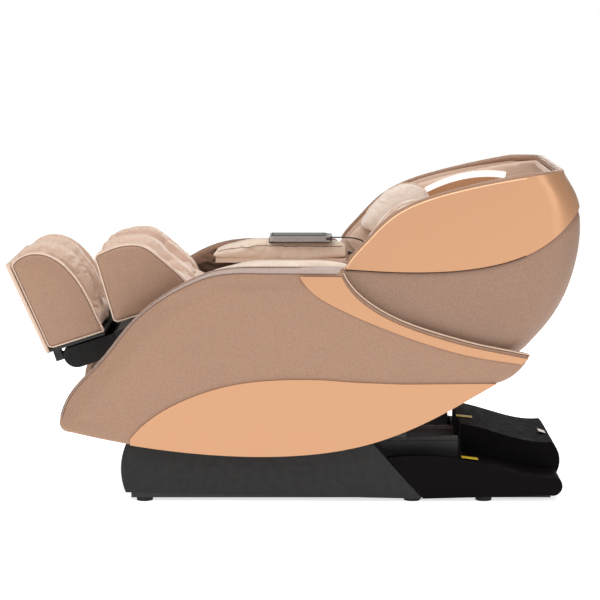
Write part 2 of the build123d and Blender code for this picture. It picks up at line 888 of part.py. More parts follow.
def above_lap(front_edge, rim_edges):
    """Side view of what lies above the lap, closed by front_edge and rim_edges."""
    lap = lap_edge()
    rear = (base_length, pod_rear[-1][1])
    foot = [Line(rear, pod_rear[-1]), Line(pod_rear[-1], lap @ 0)]
    return face_on(Plane.YZ, lap, *front_edge(lap @ 1), *rim_edges(rear), *foot)


def pod_plan(depth, rear, height):
    """The pod seen from above at one height, depth inside its outer face, with rounded rear corners."""
    half = pod_outer - depth
    radius = pod_corner - depth
    bulge = radius * (1 - cos(radians(45)))
    back = rear - depth
    return face_on(
        Plane.XY.offset(height),
        Line((-half, pod_front), (-half, back - radius)),
        ThreePointArc((-half, back - radius), (-half + bulge, back - bulge), (-half + radius, back)),
        Line((-half + radius, back), (half - radius, back)),
        ThreePointArc((half - radius, back), (half - bulge, back - bulge), (half, back - radius)),
        Line((half, back - radius), (half, pod_front)),
        Line((half, pod_front), (-half, pod_front)),
    )


def pod_block(depth):
    """The pod as one solid block, depth inside its outer face."""
    return loft([pod_plan(depth, y, z) for y, z in reversed(pod_levels)])


def pod_sides(section, low, high):
    """A wall of the pod between two depths, where section and the sides' rounded corners cover it."""
    wall = pod_block(low) - pod_block(high)
    return both(wall & slab(section, pod_outer - pod_corner - panel_gap, pod_outer))


def side_section():
    """Side view of the pod's wings, from the lap up to the rim."""
    top = (base_length, pod_rim[-1][1])
    return above_lap(
        lambda tip: [Line(tip, pod_rim[0]), Spline(*pod_rim, tangents=((0.6, 1), (1, 0.1)))],
        lambda rear: [Line(pod_rim[-1], top), Line(top, rear)],
    )


def back_sides():
    return pod_sides(side_section(), trim_thickness, pod_outer - pod_inner)


def back_panels():
    """The coloured upper half of the pod's sides."""
    top = 1100.0
    region = face_on(
        Plane.YZ,
        Spline(*pod_crease, tangents=((1, -0.06), (0.7, 0.9))),
        Line(pod_crease[-1], (pod_crease[-1][0] + 60, pod_crease[-1][1] + 90)),
        Line((pod_crease[-1][0] + 60, pod_crease[-1][1] + 90), (base_length, top)),
        Line((base_length, top), (-20.0, top)),
        Line((-20.0, top), (-20.0, pod_crease[0][1])),
        Line((-20.0, pod_crease[0][1]), pod_crease[0]),
    )
    return pod_sides(region & side_section(), 0, trim_thickness)


def heel_section(rise, front, top):
    """Side view of the space over the pod's underside; rise lifts its floor."""
    heel = [(y, z + rise) for y, z in (pod_rear[-1], (500.0, 432.0), (380.0, 408.0), pod_heel)]
    return face_on(
        Plane.YZ,
        Spline(*heel, tangents=((-1, -1), (-1, 0))),
        Line(heel[-1], (front, heel[-1][1])),
        Line((front, heel[-1][1]), (front, top)),
        Line((front, top), (base_length, top)),
        Line((base_length, top), (base_length, heel[0][1] + 300)),
        Line((base_length, heel[0][1] + 300), heel[0]),
    )


def rear_shell():
    """The cover that wraps the pod's back and underside, between its two sides."""
    low, high = trim_thickness, pod_outer - pod_inner
    outer = pod_block(low) & slab(heel_section(0, pod_heel[0] - 1, pod_rim[-1][1]), -half_width, half_width)
    room = slab(heel_section(rear_wall, pod_front, base_length), -half_width, half_width)
    shell = outer - (pod_block(high) & room)
    high_front, high_rear = (pod_front, base_length), (base_length, base_length)
    above = above_lap(
        lambda tip: [Line(tip, high_front)],
        lambda rear: [Line(high_front, high_rear), Line(high_rear, rear)],
    )
    zone = slab(above, pod_outer - pod_corner - panel_gap, half_width)
    return shell - zone - other_side(zone)


def back_frame():
    rail_depth = (rail_low_n, rail_high_n)
    rail = local_box(back_plane, (bar_inner, post_inner), (back_rail_start, back_rail_end), rail_depth)
    cheek = slab(
        face_on(
            back_plane,
            Polyline((-60, -165), (60, -165), (60, -125), (10, -62), (-48, -62), close=True),
        ),
        post_inner,
        post_outer,
    )
    pin = rod_x(hip, pin_radius, post_outer, beam_inner - 1)
    side = rail + cheek + pin
    frame = side + other_side(side) + rod_x(hip, hinge_tube_radius, -post_outer, post_outer)
    behind = (rail_low_n - 30, rail_low_n)
    for start in (300.0, 510.0):
        frame += local_box(back_plane, (-pod_inner, pod_inner), (start, start + 30), behind)
    frame += local_box(back_plane, (-post_inner, post_inner), (back_rail_end - 30, back_rail_end), rail_depth)
    lean = radians(recline_lead)
    lever_end = (hip[0] - recline_arm * sin(lean), hip[1] - recline_arm * cos(lean))
    lever = slab(
        face_on(
            Plane.YZ,
            Polyline(
                (hip[0] - 14, hip[1]),
                (hip[0] + 14, hip[1]),
                (lever_end[0] + 13, lever_end[1] - 10),
                (lever_end[0] - 13, lever_end[1] - 10),
                close=True,
            ),
        ),
        -recline_lever / 2,
        recline_lever / 2,
    )
    return frame + lever + rod_x(lever_end, recline_pin_radius, -16, 16)


def track_rails():
    """The guides that the massage head climbs."""
    rail = local_box(back_plane, (track_inner, track_outer), (50, 614), (-130, -98))
    rail -= local_box(back_plane, (track_inner - 1, track_inner + 8), (40, 620), (-122, -106))
    tie = local_box(back_plane, (track_outer, bar_inner), (70, 90), (-145, -128))
    tie += local_box(back_plane, (track_outer, bar_inner), (560, 580), (-145, -128))
    return both(rail + tie)


def back_cushion():
    outline = face_on(
        back_plane,
        Line((24, -back_cushion_depth), (676, -back_cushion_depth)),
        Line((676, -back_cushion_depth), (676, -30)),
        Spline((676, -30), (560, 0), (330, -14), (40, 0), tangents=((-1, 0.5), (-1, 0.1))),
        ThreePointArc((40, 0), (14, -40), (24, -back_cushion_depth)),
    )
    return slab(outline, -back_cushion_half, back_cushion_half)


def hood_liner():
    """The padded lining round the inside of the pod's wings and hood."""
    lip = 10.0
    low = (base_length, 860.0)
    rim = [(y + 0.6 * lip, z - lip) for y, z in pod_rim]
    region = face_on(
        Plane.YZ,
        Spline(*rim, tangents=((0.6, 1), (1, 0.1))),
        Line(rim[-1], (base_length, rim[-1][1])),
        Line((base_length, rim[-1][1]), low),
        Polyline(low, (640, 800), (420, 720), (180, 640), (90, 640), rim[0]),
    )
    wall = pod_block(pod_outer - pod_inner) - pod_block(pod_outer - liner_inner)
    return wall & slab(region, -half_width, half_width)


def shoulder_pad():
    """The air cushion inside a wing, beside the upper arm."""
    outline = face_on(
        Plane.YZ,
        Spline((66, 784), (110, 850), (160, 898), (220, 922), (285, 896), tangents=((0.5, 1), (0.6, -1))),
        Spline((285, 896), (316, 830), (290, 780), tangents=((0.6, -1), (-0.8, -0.5))),
        Line((290, 780), (160, 758)),
        ThreePointArc((160, 758), (98, 762), (66, 784)),
    )
    return slab(outline, back_cushion_half + 5, liner_inner - trim_thickness - panel_gap)


arc_bottom = [(280.0, 880.0), (340.0, 908.0), (440.0, 934.0), (548.0, 932.0)]
arc_height = 20.0


def light_arc():
    """The lit crescent round the speaker."""
    top = [(y + 4, z + arc_height) for y, z in arc_bottom]
    outline = face_on(
        Plane.YZ,
        Spline(*arc_bottom),
        Line(arc_bottom[-1], top[-1]),
        Spline(*reversed(top)),
        Line(top[0], arc_bottom[0]),
    )
    return slab(outline, liner_inner - trim_thickness, liner_inner)


def speaker():
    gap = 3.0
    top = [(y, z - gap) for y, z in arc_bottom]
    plate_face = face_on(
        Plane.YZ,
        Spline(*top),
        Line(top[-1], (470.0, 880.0)),
        Line((470.0, 880.0), (360.0, 862.0)),
        Line((360.0, 862.0), top[0]),
    )
    return slab(plate_face, liner_inner - trim_thickness, liner_inner)


pillow_hinge = (652.0, 6.0)


def head_pillow():
    """A head cushion on a flap sewn to the top of the back cushion."""
    outline = face_on(
        back_plane,
        Line((450, 6), (pillow_hinge[0] - 8, 4)),
        Line((pillow_hinge[0] - 8, 4), (pillow_hinge[0] - 6, 22)),
        Spline((pillow_hinge[0] - 6, 22), (560, 54), (452, 40), tangents=((-1, 0.9), (-1, -0.6))),
        ThreePointArc((452, 40), (440, 23), (450, 6)),
    )
    flap = local_box(back_plane, (-150, 150), (pillow_hinge[0] - 10, pillow_hinge[0]), (3, 9))
    bead = rod_x(local_point(back_plane, *pillow_hinge), 4, -150, 150)
    return slab(outline, -165, 165) + flap + bead


# ---------------------------------------------------------------- massage head
head_start, head_end = 230.0, 350.0
arm_pivot = (290.0, -134.0)
head_half = 138.0
roller_radius = 21.0
roller_x = (48.0, 92.0)
roller_width = 24.0


def massage_carriage():
    low, high = -161.0, -104.0
    sides = local_box(back_plane, (head_half - 10, head_half), (head_start, head_end), (low, high))
    back = local_box(back_plane, (-head_half, head_half), (head_start, head_end), (low, low + 7))
    shaft = rod_x(local_point(back_plane, *arm_pivot), 9, -head_half, head_half)
    motor = local_box(back_plane, (-30, 30), (head_start + 8, head_start + 38), (low + 7, low + 46))
    guide = local_box(
        back_plane,
        (head_half, track_inner + 7),
        (head_start + 20, head_end - 20),
        (-120.5, -107.5),
    )
    side = sides + guide
    return side + other_side(side) + back + motor + shaft


def massage_rollers():
    """Two kneading arms with two rollers each, on the head's cross shaft."""
    solids = []
    for x in roller_x:
        arm = local_box(
            back_plane,
            (x - 5, x + 5),
            (arm_pivot[0] - 38, arm_pivot[0] + 38),
            (arm_pivot[1] - 12.5, arm_pivot[1] + 12.5),
        )
        arm = rounded(arm, 12)
        for s in (-38.0, 38.0):
            at = local_point(back_plane, arm_pivot[0] + s, -113)
            arm += local_box(
                back_plane,
                (x - 5, x + 5),
                (arm_pivot[0] + s - 8, arm_pivot[0] + s + 8),
                (arm_pivot[1], -113),
            )
            arm += rod_x(at, roller_radius, x - roller_width / 2, x + roller_width / 2)
        arm -= rod_x(local_point(back_plane, *arm_pivot), 9 + pin_play, 0, half_width)
        solids.append(arm)
    return both(group(*solids))


# ---------------------------------------------------------------- leg rest
leg_arm_outer = knee_lug_outer - plate - plate_gap
leg_arm_inner = leg_arm_outer - plate
leg_floor = 68.0           # underside of the calf cushions above the knee line
leg_bar_top = 40.0
calf_rear, calf_front = 30.0, 288.0
foot_rear, foot_front = 322.0, 500.0
calf_wall = 58.0
divider_half = 34.0
guide_x = 150.0
guide_radius = 10.0
guide_n = 14.0
guide_start = 104.0
guide_end = 488.0
panel_depth = 8.0
calf_brow = [(34.0, 120.0), (90.0, 222.0), (128.0, 270.0), (190.0, 292.0), (264.0, 289.0)]
foot_brow = [(330.0, 110.0), (350.0, 232.0), (400.0, 322.0), (452.0, 352.0), (505.0, 350.0), (531.0, 336.0)]


def leg_frame():
    arm = local_box(leg_plane, (leg_arm_inner, leg_arm_outer), (-14, 300), (-18, leg_bar_top))
    pin = rod_x(knee, pin_radius, leg_arm_outer, knee_lug_outer + 3)
    side = arm + pin
    frame = side + other_side(side) + rod_x(knee, knee_tube_radius, -leg_arm_inner, leg_arm_inner)
    across = (-leg_arm_inner, leg_arm_inner)
    for start in (110.0, 270.0):
        frame += local_box(leg_plane, across, (start, start + 24), (-12, leg_bar_top))
    frame += local_box(leg_plane, across, (134, 270), (leg_bar_top - 4, leg_bar_top))
    return frame - group(*guide_rods(guide_radius + rod_play))


def guide_rods(radius):
    """The two rods that carry the foot unit in the leg frame."""
    middle, length = (guide_start + guide_end) / 2, guide_end - guide_start
    return [
        Plane(origin=leg_plane.from_local_coords((middle, guide_n, x)), z_dir=leg_plane.x_dir)
        * Cylinder(radius, length)
        for x in (-guide_x, guide_x)
    ]


def leg_rail_cover():
    outline = face_on(
        leg_plane,
        Line((110, -20), (110, -34)),
        Line((110, -34), (440, -38)),
        ThreePointArc((440, -38), (470, -24), (480, 14)),
        Line((480, 14), (470, 30)),
        Line((470, 30), (310, 30)),
        Line((310, 30), (302, -20)),
        Line((302, -20), (110, -20)),
    )
    half = leg_arm_inner - 40
    cover = slab(outline, -half, half)
    hollow = local_box(leg_plane, (-half + cover_wall, half - cover_wall), (312, 463), (-30, 31))
    return cover - hollow - group(*guide_rods(guide_radius + 2))


def calf_outline(low):
    return face_on(
        leg_plane,
        Spline(*calf_brow, tangents=((0.4, 1), (1, -0.1))),
        ThreePointArc(calf_brow[-1], (280, 280), (281, 262)),
        Line((281, 262), (calf_front, low + 8)),
        Line((calf_front, low + 8), (calf_front - 12, low)),
        Line((calf_front - 12, low), (calf_rear, low)),
        Line((calf_rear, low), calf_brow[0]),
    )


def foot_outline(low):
    return face_on(
        leg_plane,
        Spline(*foot_brow, tangents=((0.05, 1), (0.9, -0.6))),
        Line(foot_brow[-1], (foot_front + 4, low + 8)),
        Line((foot_front + 4, low + 8), (foot_front - 8, low)),
        Line((foot_front - 8, low), (foot_rear, low)),
        Line((foot_rear, low), foot_brow[0]),
    )


def calf_panels():
    return both(slab(calf_outline(leg_floor), leg_half - panel_depth, leg_half))


def calf_cushion():
    """Two outer walls, the divider between the calves, and the floor under them."""
    outline = calf_outline(leg_floor)
    wall = slab(outline, leg_half - panel_depth - calf_wall, leg_half - panel_depth)
    divider = slab(outline, -divider_half, divider_half)
    floor = [
        local_box(leg_plane, side, (calf_rear + 16, calf_front - 20), (leg_floor, leg_floor + 62))
        for side in (
            (divider_half, leg_half - panel_depth - calf_wall),
            (-(leg_half - panel_depth - calf_wall), -divider_half),
        )
    ]
    return group(wall, other_side(wall), divider, *floor)


def foot_panels():
    return both(slab(foot_outline(54.0), leg_half - panel_depth, leg_half))


def foot_cushion():
    """Outer walls, divider, sole pads and heel pads of the two boots."""
    outline = foot_outline(54.0)
    inner = leg_half - panel_depth - calf_wall
    wall = slab(outline, inner, leg_half - panel_depth)
    divider = slab(outline, -divider_half, divider_half)
    sole = slab(
        face_on(
            leg_plane,
            Polyline((470, 62), (498, 62), (525, 320), (506, 330), (488, 322), close=True),
        ),
        divider_half,
        inner,
    )
    heel = local_box(leg_plane, (divider_half, inner), (foot_rear + 10, 468), (56, 96))
    return group(wall, other_side(wall), divider, sole, other_side(sole), heel, other_side(heel))


def foot_frame():
    """Sole board, base board and the two guide rods that slide in the leg frame."""
    sole = slab(
        face_on(
            leg_plane,
            Polyline((foot_front + 5, 46), (foot_front + 11, 46), (543, 338), (537, 338), close=True),
        ),
        -leg_half,
        leg_half,
    )
    board = local_box(leg_plane, (-leg_half + 10, leg_half - 10), (foot_rear + 4, foot_front + 8), (44, 53))
    drop = local_box(leg_plane, (guide_x - 16, guide_x + 16), (484, foot_front + 8), (0, 50))
    rods = guide_rods(guide_radius)
    return sole + board + drop + other_side(drop) + rods[0] + rods[1]


roller_axis = (420.0, 74.0)


def foot_rollers():
    """The knobbed shaft that rolls under the arches."""
    at = local_point(leg_plane, *roller_axis)
    shaft = rod_x(at, 6, -leg_half + panel_depth + 20, leg_half - panel_depth - 20)
    for x in (70, 100, 130, 160):
        for side in (-1, 1):
            shaft += rod_x(at, 13, side * x - 9, side * x + 9)
    return shaft


def roller_room():
    """The space in the foot cushions that the rollers turn in."""
    at = local_point(leg_plane, *roller_axis)
    return rod_x(at, 16, -leg_half + panel_depth + 16, leg_half - panel_depth - 16)


# ---------------------------------------------------------------- write every piece
tail = tail_cover() - tail_window()
feet_cushion = foot_cushion()
feet_cushion = group(*[solid - roller_room() for solid in feet_cushion.solids()])

pieces = {
    "base_frame": base_frame(),
    "slide_rails": slide_rails(),
    "skid_covers": skid_covers(),
    "tail_cover": tail,
    "rubber_feet": rubber_feet(),
    "power_box": power_box(),
    "mains_inlet": mains_inlet(),
    "slide_actuator": slide_actuator(),
    "transport_wheels": wheels(),
    "wheel_axle": wheel_axle(),
    "power_switch": power_switch(),
    "carriage_frame": carriage_frame(),
    "glide_shoes": glide_shoes(),
    "slide_rod": slide_rod(),
    "seat_frame": seat_frame(),
    "seat_pan": seat_pan(),
    "seat_cushion": seat_cushion(),
    "arm_shell_left": arm_shell(),
    "arm_shell_right": other_side(arm_shell()),
    "arm_liners": both(arm_liner()),
    "arm_belly_panels": both(lower_panel()),
    "arm_sashes": both(arm_strip()),
    "arm_pad_left": arm_pad(),
    "arm_pad_right": other_side(arm_pad()),
    "seat_bolsters": both(seat_bolster()),
    "push_actuators": push_actuators(),
    "recline_rod": recline_rod(),
    "tilt_rod": tilt_rod(),
    "air_pump": air_pump(),
    "leg_gearmotor": leg_gearmotor(),
    "remote_cradle": remote_cradle(),
    "remote_body": remote_body(),
    "remote_screen": remote_screen(),
    "power_key": remote_key(key_places()[0]),
    "pause_key": remote_key(key_places()[1]),
    "recline_key": remote_key(key_places()[2]),
    "remote_cord": remote_cord(),
    "cord_gland": cord_gland(),
    "back_frame": back_frame(),
    "track_rails": track_rails(),
    "back_cushion": back_cushion(),
    "back_sides": back_sides(),
    "back_panels": back_panels(),
    "rear_shell": rear_shell(),
    "hood_liner": hood_liner(),
    "shoulder_pads": both(shoulder_pad()),
    "light_arcs": both(light_arc()),
    "speakers": both(speaker()),
    "head_pillow": head_pillow(),
    "massage_carriage": massage_carriage(),
    "massage_rollers": massage_rollers(),
    "leg_frame": leg_frame(),
    "leg_rail_cover": leg_rail_cover(),
    "calf_panels": calf_panels(),
    "calf_cushion": calf_cushion(),
    "foot_frame": foot_frame(),
    "foot_panels": foot_panels(),
    "foot_cushion": feet_cushion,
    "foot_rollers": foot_rollers(),
}

os.makedirs("parts", exist_ok=True)
for name, piece in pieces.items():
    export_step(piece, f"parts/{name}.step")
print(len(pieces), "nodes")
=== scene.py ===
from itertools import product
from math import cos, pi, radians, sin

import bmesh
import bpy
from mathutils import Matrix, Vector, kdtree, noise
from mathutils.bvhtree import BVHTree


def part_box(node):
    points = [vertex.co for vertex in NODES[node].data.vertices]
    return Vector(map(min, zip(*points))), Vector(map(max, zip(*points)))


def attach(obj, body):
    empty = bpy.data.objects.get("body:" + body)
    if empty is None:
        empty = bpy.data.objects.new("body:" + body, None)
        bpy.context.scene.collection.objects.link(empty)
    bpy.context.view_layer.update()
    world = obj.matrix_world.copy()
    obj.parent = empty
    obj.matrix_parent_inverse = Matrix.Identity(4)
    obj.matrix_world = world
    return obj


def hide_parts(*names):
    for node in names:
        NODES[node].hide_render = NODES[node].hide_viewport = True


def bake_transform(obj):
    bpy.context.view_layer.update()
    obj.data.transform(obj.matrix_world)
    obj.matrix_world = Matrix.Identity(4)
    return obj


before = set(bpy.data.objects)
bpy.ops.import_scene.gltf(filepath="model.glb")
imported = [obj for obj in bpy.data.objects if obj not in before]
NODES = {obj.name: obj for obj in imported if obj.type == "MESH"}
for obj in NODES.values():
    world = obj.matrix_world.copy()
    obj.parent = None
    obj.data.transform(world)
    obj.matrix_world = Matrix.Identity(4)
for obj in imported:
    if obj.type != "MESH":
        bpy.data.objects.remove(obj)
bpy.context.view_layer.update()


# ------------------------------------------------------------------ camera
CAMERA_DOWN = 8.12            # degrees below the horizontal


def make_camera():
    """The photograph's viewing angle: from the chair's left, a little above it."""
    data = bpy.data.cameras.new("camera")
    data.lens = 129.5
    data.sensor_width = 36
    data.clip_end = 100
    camera = bpy.data.objects.new("camera", data)
    camera.location = (6.775, -0.127, 1.539)
    camera.rotation_euler = (radians(90 - CAMERA_DOWN), 0, radians(90))
    bpy.context.collection.objects.link(camera)
    bpy.context.scene.camera = camera
    bpy.context.scene.view_settings.view_transform = "Standard"


make_camera()


# ------------------------------------------------------------------ small helpers
TRIM_STEP = 0.006             # spacing of the points along an outline
BOARD_VOXEL = 0.005           # mesh size of the arm shells and the pod's sides
LEG_VOXEL = 0.004             # mesh size of the leg panels


def put(name, data):
    """A new object in the scene."""
    piece = bpy.data.objects.new(name, data)
    bpy.context.collection.objects.link(piece)
    return piece


def new_mesh(name, verts, faces, smooth=True):
    mesh = bpy.data.meshes.new(name)
    mesh.from_pydata([tuple(v) for v in verts], [], faces)
    mesh.update()
    if smooth:
        mesh.shade_smooth()
    return put(name, mesh)


def give(piece, material):
    piece.data.materials.clear()
    piece.data.materials.append(material)
    return piece


def islands(node):
    """Each separate solid of a CAD node, as a bmesh in the row frame."""
    whole = bmesh.new()
    whole.from_mesh(NODES[node].data)
    bmesh.ops.remove_doubles(whole, verts=whole.verts, dist=1e-6)
    left = dict.fromkeys(whole.faces)
    found = []
    while left:
        stack, group = [left.popitem()[0]], []
        while stack:
            face = stack.pop()
            group.append(face)
            for edge in face.edges:
                for other in edge.link_faces:
                    if other in left:
                        del left[other]
                        stack.append(other)
        part = bmesh.new()
        index = {}
        for face in group:
            corners = []
            for vert in face.verts:
                if vert not in index:
                    index[vert] = part.verts.new(vert.co)
                corners.append(index[vert])
            part.faces.new(corners)
        part.normal_update()
        found.append(part)
    whole.free()
    found.sort(key=lambda part: sum((v.co for v in part.verts), Vector()).x / len(part.verts))
    return found


def side_loop(part, outer=True):
    """The outline of a solid's flat side, as (y, z) points in order: its highest x, or its lowest."""
    xs = [v.co.x for v in part.verts]
    plane = max(xs) if outer else min(xs)
    flat = {f for f in part.faces if all(abs(v.co.x - plane) < 2e-4 for v in f.verts)}
    edges = [e for e in part.edges if len(flat.intersection(e.link_faces)) == 1]
    links = {}
    for edge in edges:
        a, b = edge.verts
        links.setdefault(a, []).append(b)
        links.setdefault(b, []).append(a)
    loops = []
    unseen = dict.fromkeys(links)
    while unseen:
        start = unseen.popitem()[0]
        loop, last, at = [start], None, start
        while True:
            following = [v for v in links[at] if v is not last and (v in unseen or v is start)]
            if not following or following[0] is start:
                break
            last, at = at, following[0]
            unseen.pop(at, None)
            loop.append(at)
        loops.append(loop)

    def span(loop):
        ys = [v.co.y for v in loop]
        return max(ys) - min(ys)

    best = max(loops, key=span)
    return [(v.co.y, v.co.z) for v in best]


def area_of(loop):
    """A loop's area, negative if it runs clockwise."""
    return 0.5 * sum(a[0] * b[1] - b[0] * a[1] for a, b in zip(loop, loop[1:] + loop[:1]))


def resample(points, step, closed=True):
    """The same line, with points about step apart."""
    line = [Vector(p) for p in points]
    if closed:
        line.append(line[0])
    lengths = [(b - a).length for a, b in zip(line, line[1:])]
    total = sum(lengths)
    count = max(8, round(total / step))
    out, at, run = [], 0, 0.0
    for i in range(count if closed else count + 1):
        want = min(total * i / count, total - 1e-9)
        while at < len(lengths) - 1 and run + lengths[at] < want:
            run += lengths[at]
            at += 1
        share = (want - run) / lengths[at] if lengths[at] else 0
        out.append(line[at].lerp(line[at + 1], min(1, max(0, share))))
    return out


def normals_in(loop):
    """Inward normals of a closed, counter-clockwise loop of 2-D points."""
    out = []
    n = len(loop)
    for i in range(n):
        along = loop[(i + 1) % n] - loop[i - 1]
        out.append(Vector((-along.y, along.x)).normalized())
    return out


def inset_loop(loop, amount):
    """The loop moved inwards a little, evened out so that it doesn't cross itself."""
    steps = max(1, round(amount / 0.004))
    for _ in range(steps):
        inward = normals_in(loop)
        loop = [p + n * (amount / steps) for p, n in zip(loop, inward)]
        n = len(loop)
        loop = [loop[i] * 0.6 + (loop[i - 1] + loop[(i + 1) % n]) * 0.2 for i in range(n)]
    return loop


def counter_clockwise(loop):
    return loop if area_of(loop) > 0 else loop[::-1]


def outline_of(part, out):
    """The outline of a solid's flat side, counter-clockwise, with evenly spaced points."""
    return [Vector(q) for q in resample(counter_clockwise(side_loop(part, out > 0)), TRIM_STEP)]


def tube(name, points, radius, material, closed=False, sides=3):
    """Piping or a thread along points, as a smooth round curve."""
    data = bpy.data.curves.new(name, "CURVE")
    data.dimensions = "3D"
    data.bevel_depth = radius
    data.bevel_resolution = sides
    line = data.splines.new("POLY")
    line.points.add(len(points) - 1)
    for point, at in zip(line.points, points):
        point.co = (*at, 1)
    line.use_cyclic_u = closed
    data.use_fill_caps = True
    piece = put(name, data)
    data.materials.append(material)
    return piece


def stitches(name, points, material, length=0.0055, gap=0.003, radius=0.0007, closed=False):
    """A row of separate stitches along points."""
    line = [Vector(p) for p in points] + ([Vector(points[0])] if closed else [])
    runs = [(b - a).length for a, b in zip(line, line[1:])]
    total = sum(runs)

    def at(want):
        for (a, b), run in zip(zip(line, line[1:]), runs):
            if want <= run:
                return a.lerp(b, want / run if run else 0)
            want -= run
        return line[-1]

    verts, faces = [], []
    place = 0.0
    while place + length < total:
        a, b = at(place), at(place + length)
        along = (b - a).normalized()
        side = along.orthogonal().normalized()
        up = along.cross(side)
        base = len(verts)
        for end, middle in ((0, a), (0.2, a.lerp(b, 0.2)), (0.8, a.lerp(b, 0.8)), (1, b)):
            thick = radius * (0.45 if end in (0, 1) else 1)
            verts += [middle + (side * cos(t * pi / 2) + up * sin(t * pi / 2)) * thick for t in range(4)]
        for ring in range(3):
            for t in range(4):
                low = base + ring * 4
                faces.append((low + t, low + (t + 1) % 4, low + 4 + (t + 1) % 4, low + 4 + t))
        faces += [(base + 3, base + 2, base + 1, base), (base + 12, base + 13, base + 14, base + 15)]
        place += length + gap
    return give(new_mesh(name, verts, faces), material)


# ------------------------------------------------------------------ materials
def linear(rgb):
    """A colour given as sRGB 0 to 255."""
    out = []
    for c in rgb:
        c /= 255
        out.append(c / 12.92 if c <= 0.04045 else ((c + 0.055) / 1.055) ** 2.4)
    return (*out, 1)


class Shader:
    """A Principled material with a few helpers for its nodes."""

    def __init__(self, name, rgb, roughness=0.5, metallic=0.0, **sockets):
        self.material = bpy.data.materials.new(name)
        self.material.use_nodes = True
        self.tree = self.material.node_tree
        self.shader = self.tree.nodes["Principled BSDF"]
        self.colour = linear(rgb)
        self.set("Base Color", self.colour)
        self.set("Roughness", roughness)
        self.set("Metallic", metallic)
        self.material.diffuse_color = self.colour
        for socket, value in sockets.items():
            self.set(socket.replace("_", " "), value)
        coords = self.tree.nodes.new("ShaderNodeTexCoord")
        self.where = coords.outputs["Object"]
        self.normal = None

    def set(self, socket, value):
        self.shader.inputs[socket].default_value = value

    def node(self, kind, inputs=None, **settings):
        made = self.tree.nodes.new(kind)
        for key, value in settings.items():
            setattr(made, key, value)
        for key, value in (inputs or {}).items():
            if isinstance(value, bpy.types.NodeSocket):
                self.tree.links.new(value, made.inputs[key])
            else:
                made.inputs[key].default_value = value
        return made

    def noise(self, scale, detail=4.0, roughness=0.55, stretch=None):
        vector = self.where
        if stretch:
            vector = self.node("ShaderNodeMapping", {"Vector": vector, "Scale": stretch}).outputs[0]
        inputs = {"Vector": vector, "Scale": scale, "Detail": detail, "Roughness": roughness}
        return self.node("ShaderNodeTexNoise", inputs).outputs["Fac"]

    def cells(self, scale, feature="DISTANCE_TO_EDGE"):
        made = self.node("ShaderNodeTexVoronoi", {"Vector": self.where, "Scale": scale}, feature=feature)
        return made.outputs["Distance"]

    def ramp(self, value, low, high, start=0.3, end=0.7):
        made = self.node("ShaderNodeMapRange", {"Value": value, "From Min": start, "From Max": end})
        made.inputs["To Min"].default_value = low
        made.inputs["To Max"].default_value = high
        return made.outputs["Result"]

    def vary(self, value, amount, tint=(1.0, 1.0, 1.0)):
        """Colour that drifts lighter and darker with value, by amount."""
        dark = tuple(c * (1 - amount * t) for c, t in zip(self.colour[:3], tint))
        light = tuple(min(1.0, c * (1 + amount)) for c in self.colour[:3])
        made = self.node("ShaderNodeMix", {"Factor": value}, data_type="RGBA")
        made.inputs["A"].default_value = (*dark, 1)
        made.inputs["B"].default_value = (*light, 1)
        source = self.shader.inputs["Base Color"]
        if source.is_linked:
            mixed = self.node("ShaderNodeMix", {"Factor": 0.5}, data_type="RGBA")
            self.tree.links.new(source.links[0].from_socket, mixed.inputs["A"])
            self.tree.links.new(made.outputs["Result"], mixed.inputs["B"])
            made = mixed
        self.tree.links.new(made.outputs["Result"], source)

    def rough(self, value, low, high, start=0.3, end=0.7):
        self.tree.links.new(self.ramp(value, low, high, start, end), self.shader.inputs["Roughness"])

    def bump(self, height, distance, strength=1.0):
        inputs = {"Height": height, "Distance": distance, "Strength": strength}
        if self.normal:
            inputs["Normal"] = self.normal
        self.normal = self.node("ShaderNodeBump", inputs).outputs["Normal"]
        self.tree.links.new(self.normal, self.shader.inputs["Normal"])


def leather(name, rgb, grain=900.0, depth=0.00022, roughness=0.46, drift=0.08, sheen=0.0, metallic=0.0):
    s = Shader(name, rgb, roughness, metallic)
    s.set("Specular IOR Level", 0.45)
    s.set("Sheen Weight", sheen)
    s.set("Sheen Roughness", 0.5)
    s.set("Sheen Tint", (1.0, 0.93, 0.86, 1))
    soft = s.noise(7.0, 3.0)
    fleck = s.ramp(s.noise(210.0, 3.0, 0.75), 0.0, 1.0, 0.36, 0.64)
    s.vary(soft, drift)
    s.vary(fleck, drift * 2.8)
    s.rough(s.noise(60.0, 3.0), roughness - 0.06, roughness + 0.08)
    s.bump(s.cells(grain), depth, 0.55)
    s.bump(s.noise(260.0, 4.0, 0.6), depth * 1.6, 0.35)
    s.bump(s.noise(14.0, 2.0), 0.0016, 0.25)
    return s.material


def gold_paint(name, rgb):
    s = Shader(name, rgb, 0.38, 0.5)
    s.set("Coat Weight", 0.25)
    s.set("Coat Roughness", 0.22)
    s.vary(s.noise(1500.0, 1.0), 0.04)
    s.rough(s.noise(500.0, 2.0), 0.35, 0.43)
    s.bump(s.noise(900.0, 2.0), 0.00003, 0.25)
    return s.material


def moulded(name, rgb, roughness=0.5, texture=0.00008, scale=900.0, shine=0.4):
    s = Shader(name, rgb, roughness)
    s.set("Specular IOR Level", shine)
    s.vary(s.noise(6.0, 3.0), 0.12)
    s.rough(s.noise(40.0, 4.0), roughness - 0.07, roughness + 0.1)
    s.bump(s.noise(scale, 3.0, 0.7), texture, 0.5)
    return s.material


def metal(name, rgb, roughness=0.35, scale=300.0):
    s = Shader(name, rgb, roughness, 1.0)
    s.rough(s.noise(scale, 3.0, 0.6, (1, 0.05, 1)), roughness - 0.08, roughness + 0.12)
    s.bump(s.noise(scale * 2, 2.0, 0.6, (1, 0.03, 1)), 0.00003, 0.3)
    return s.material


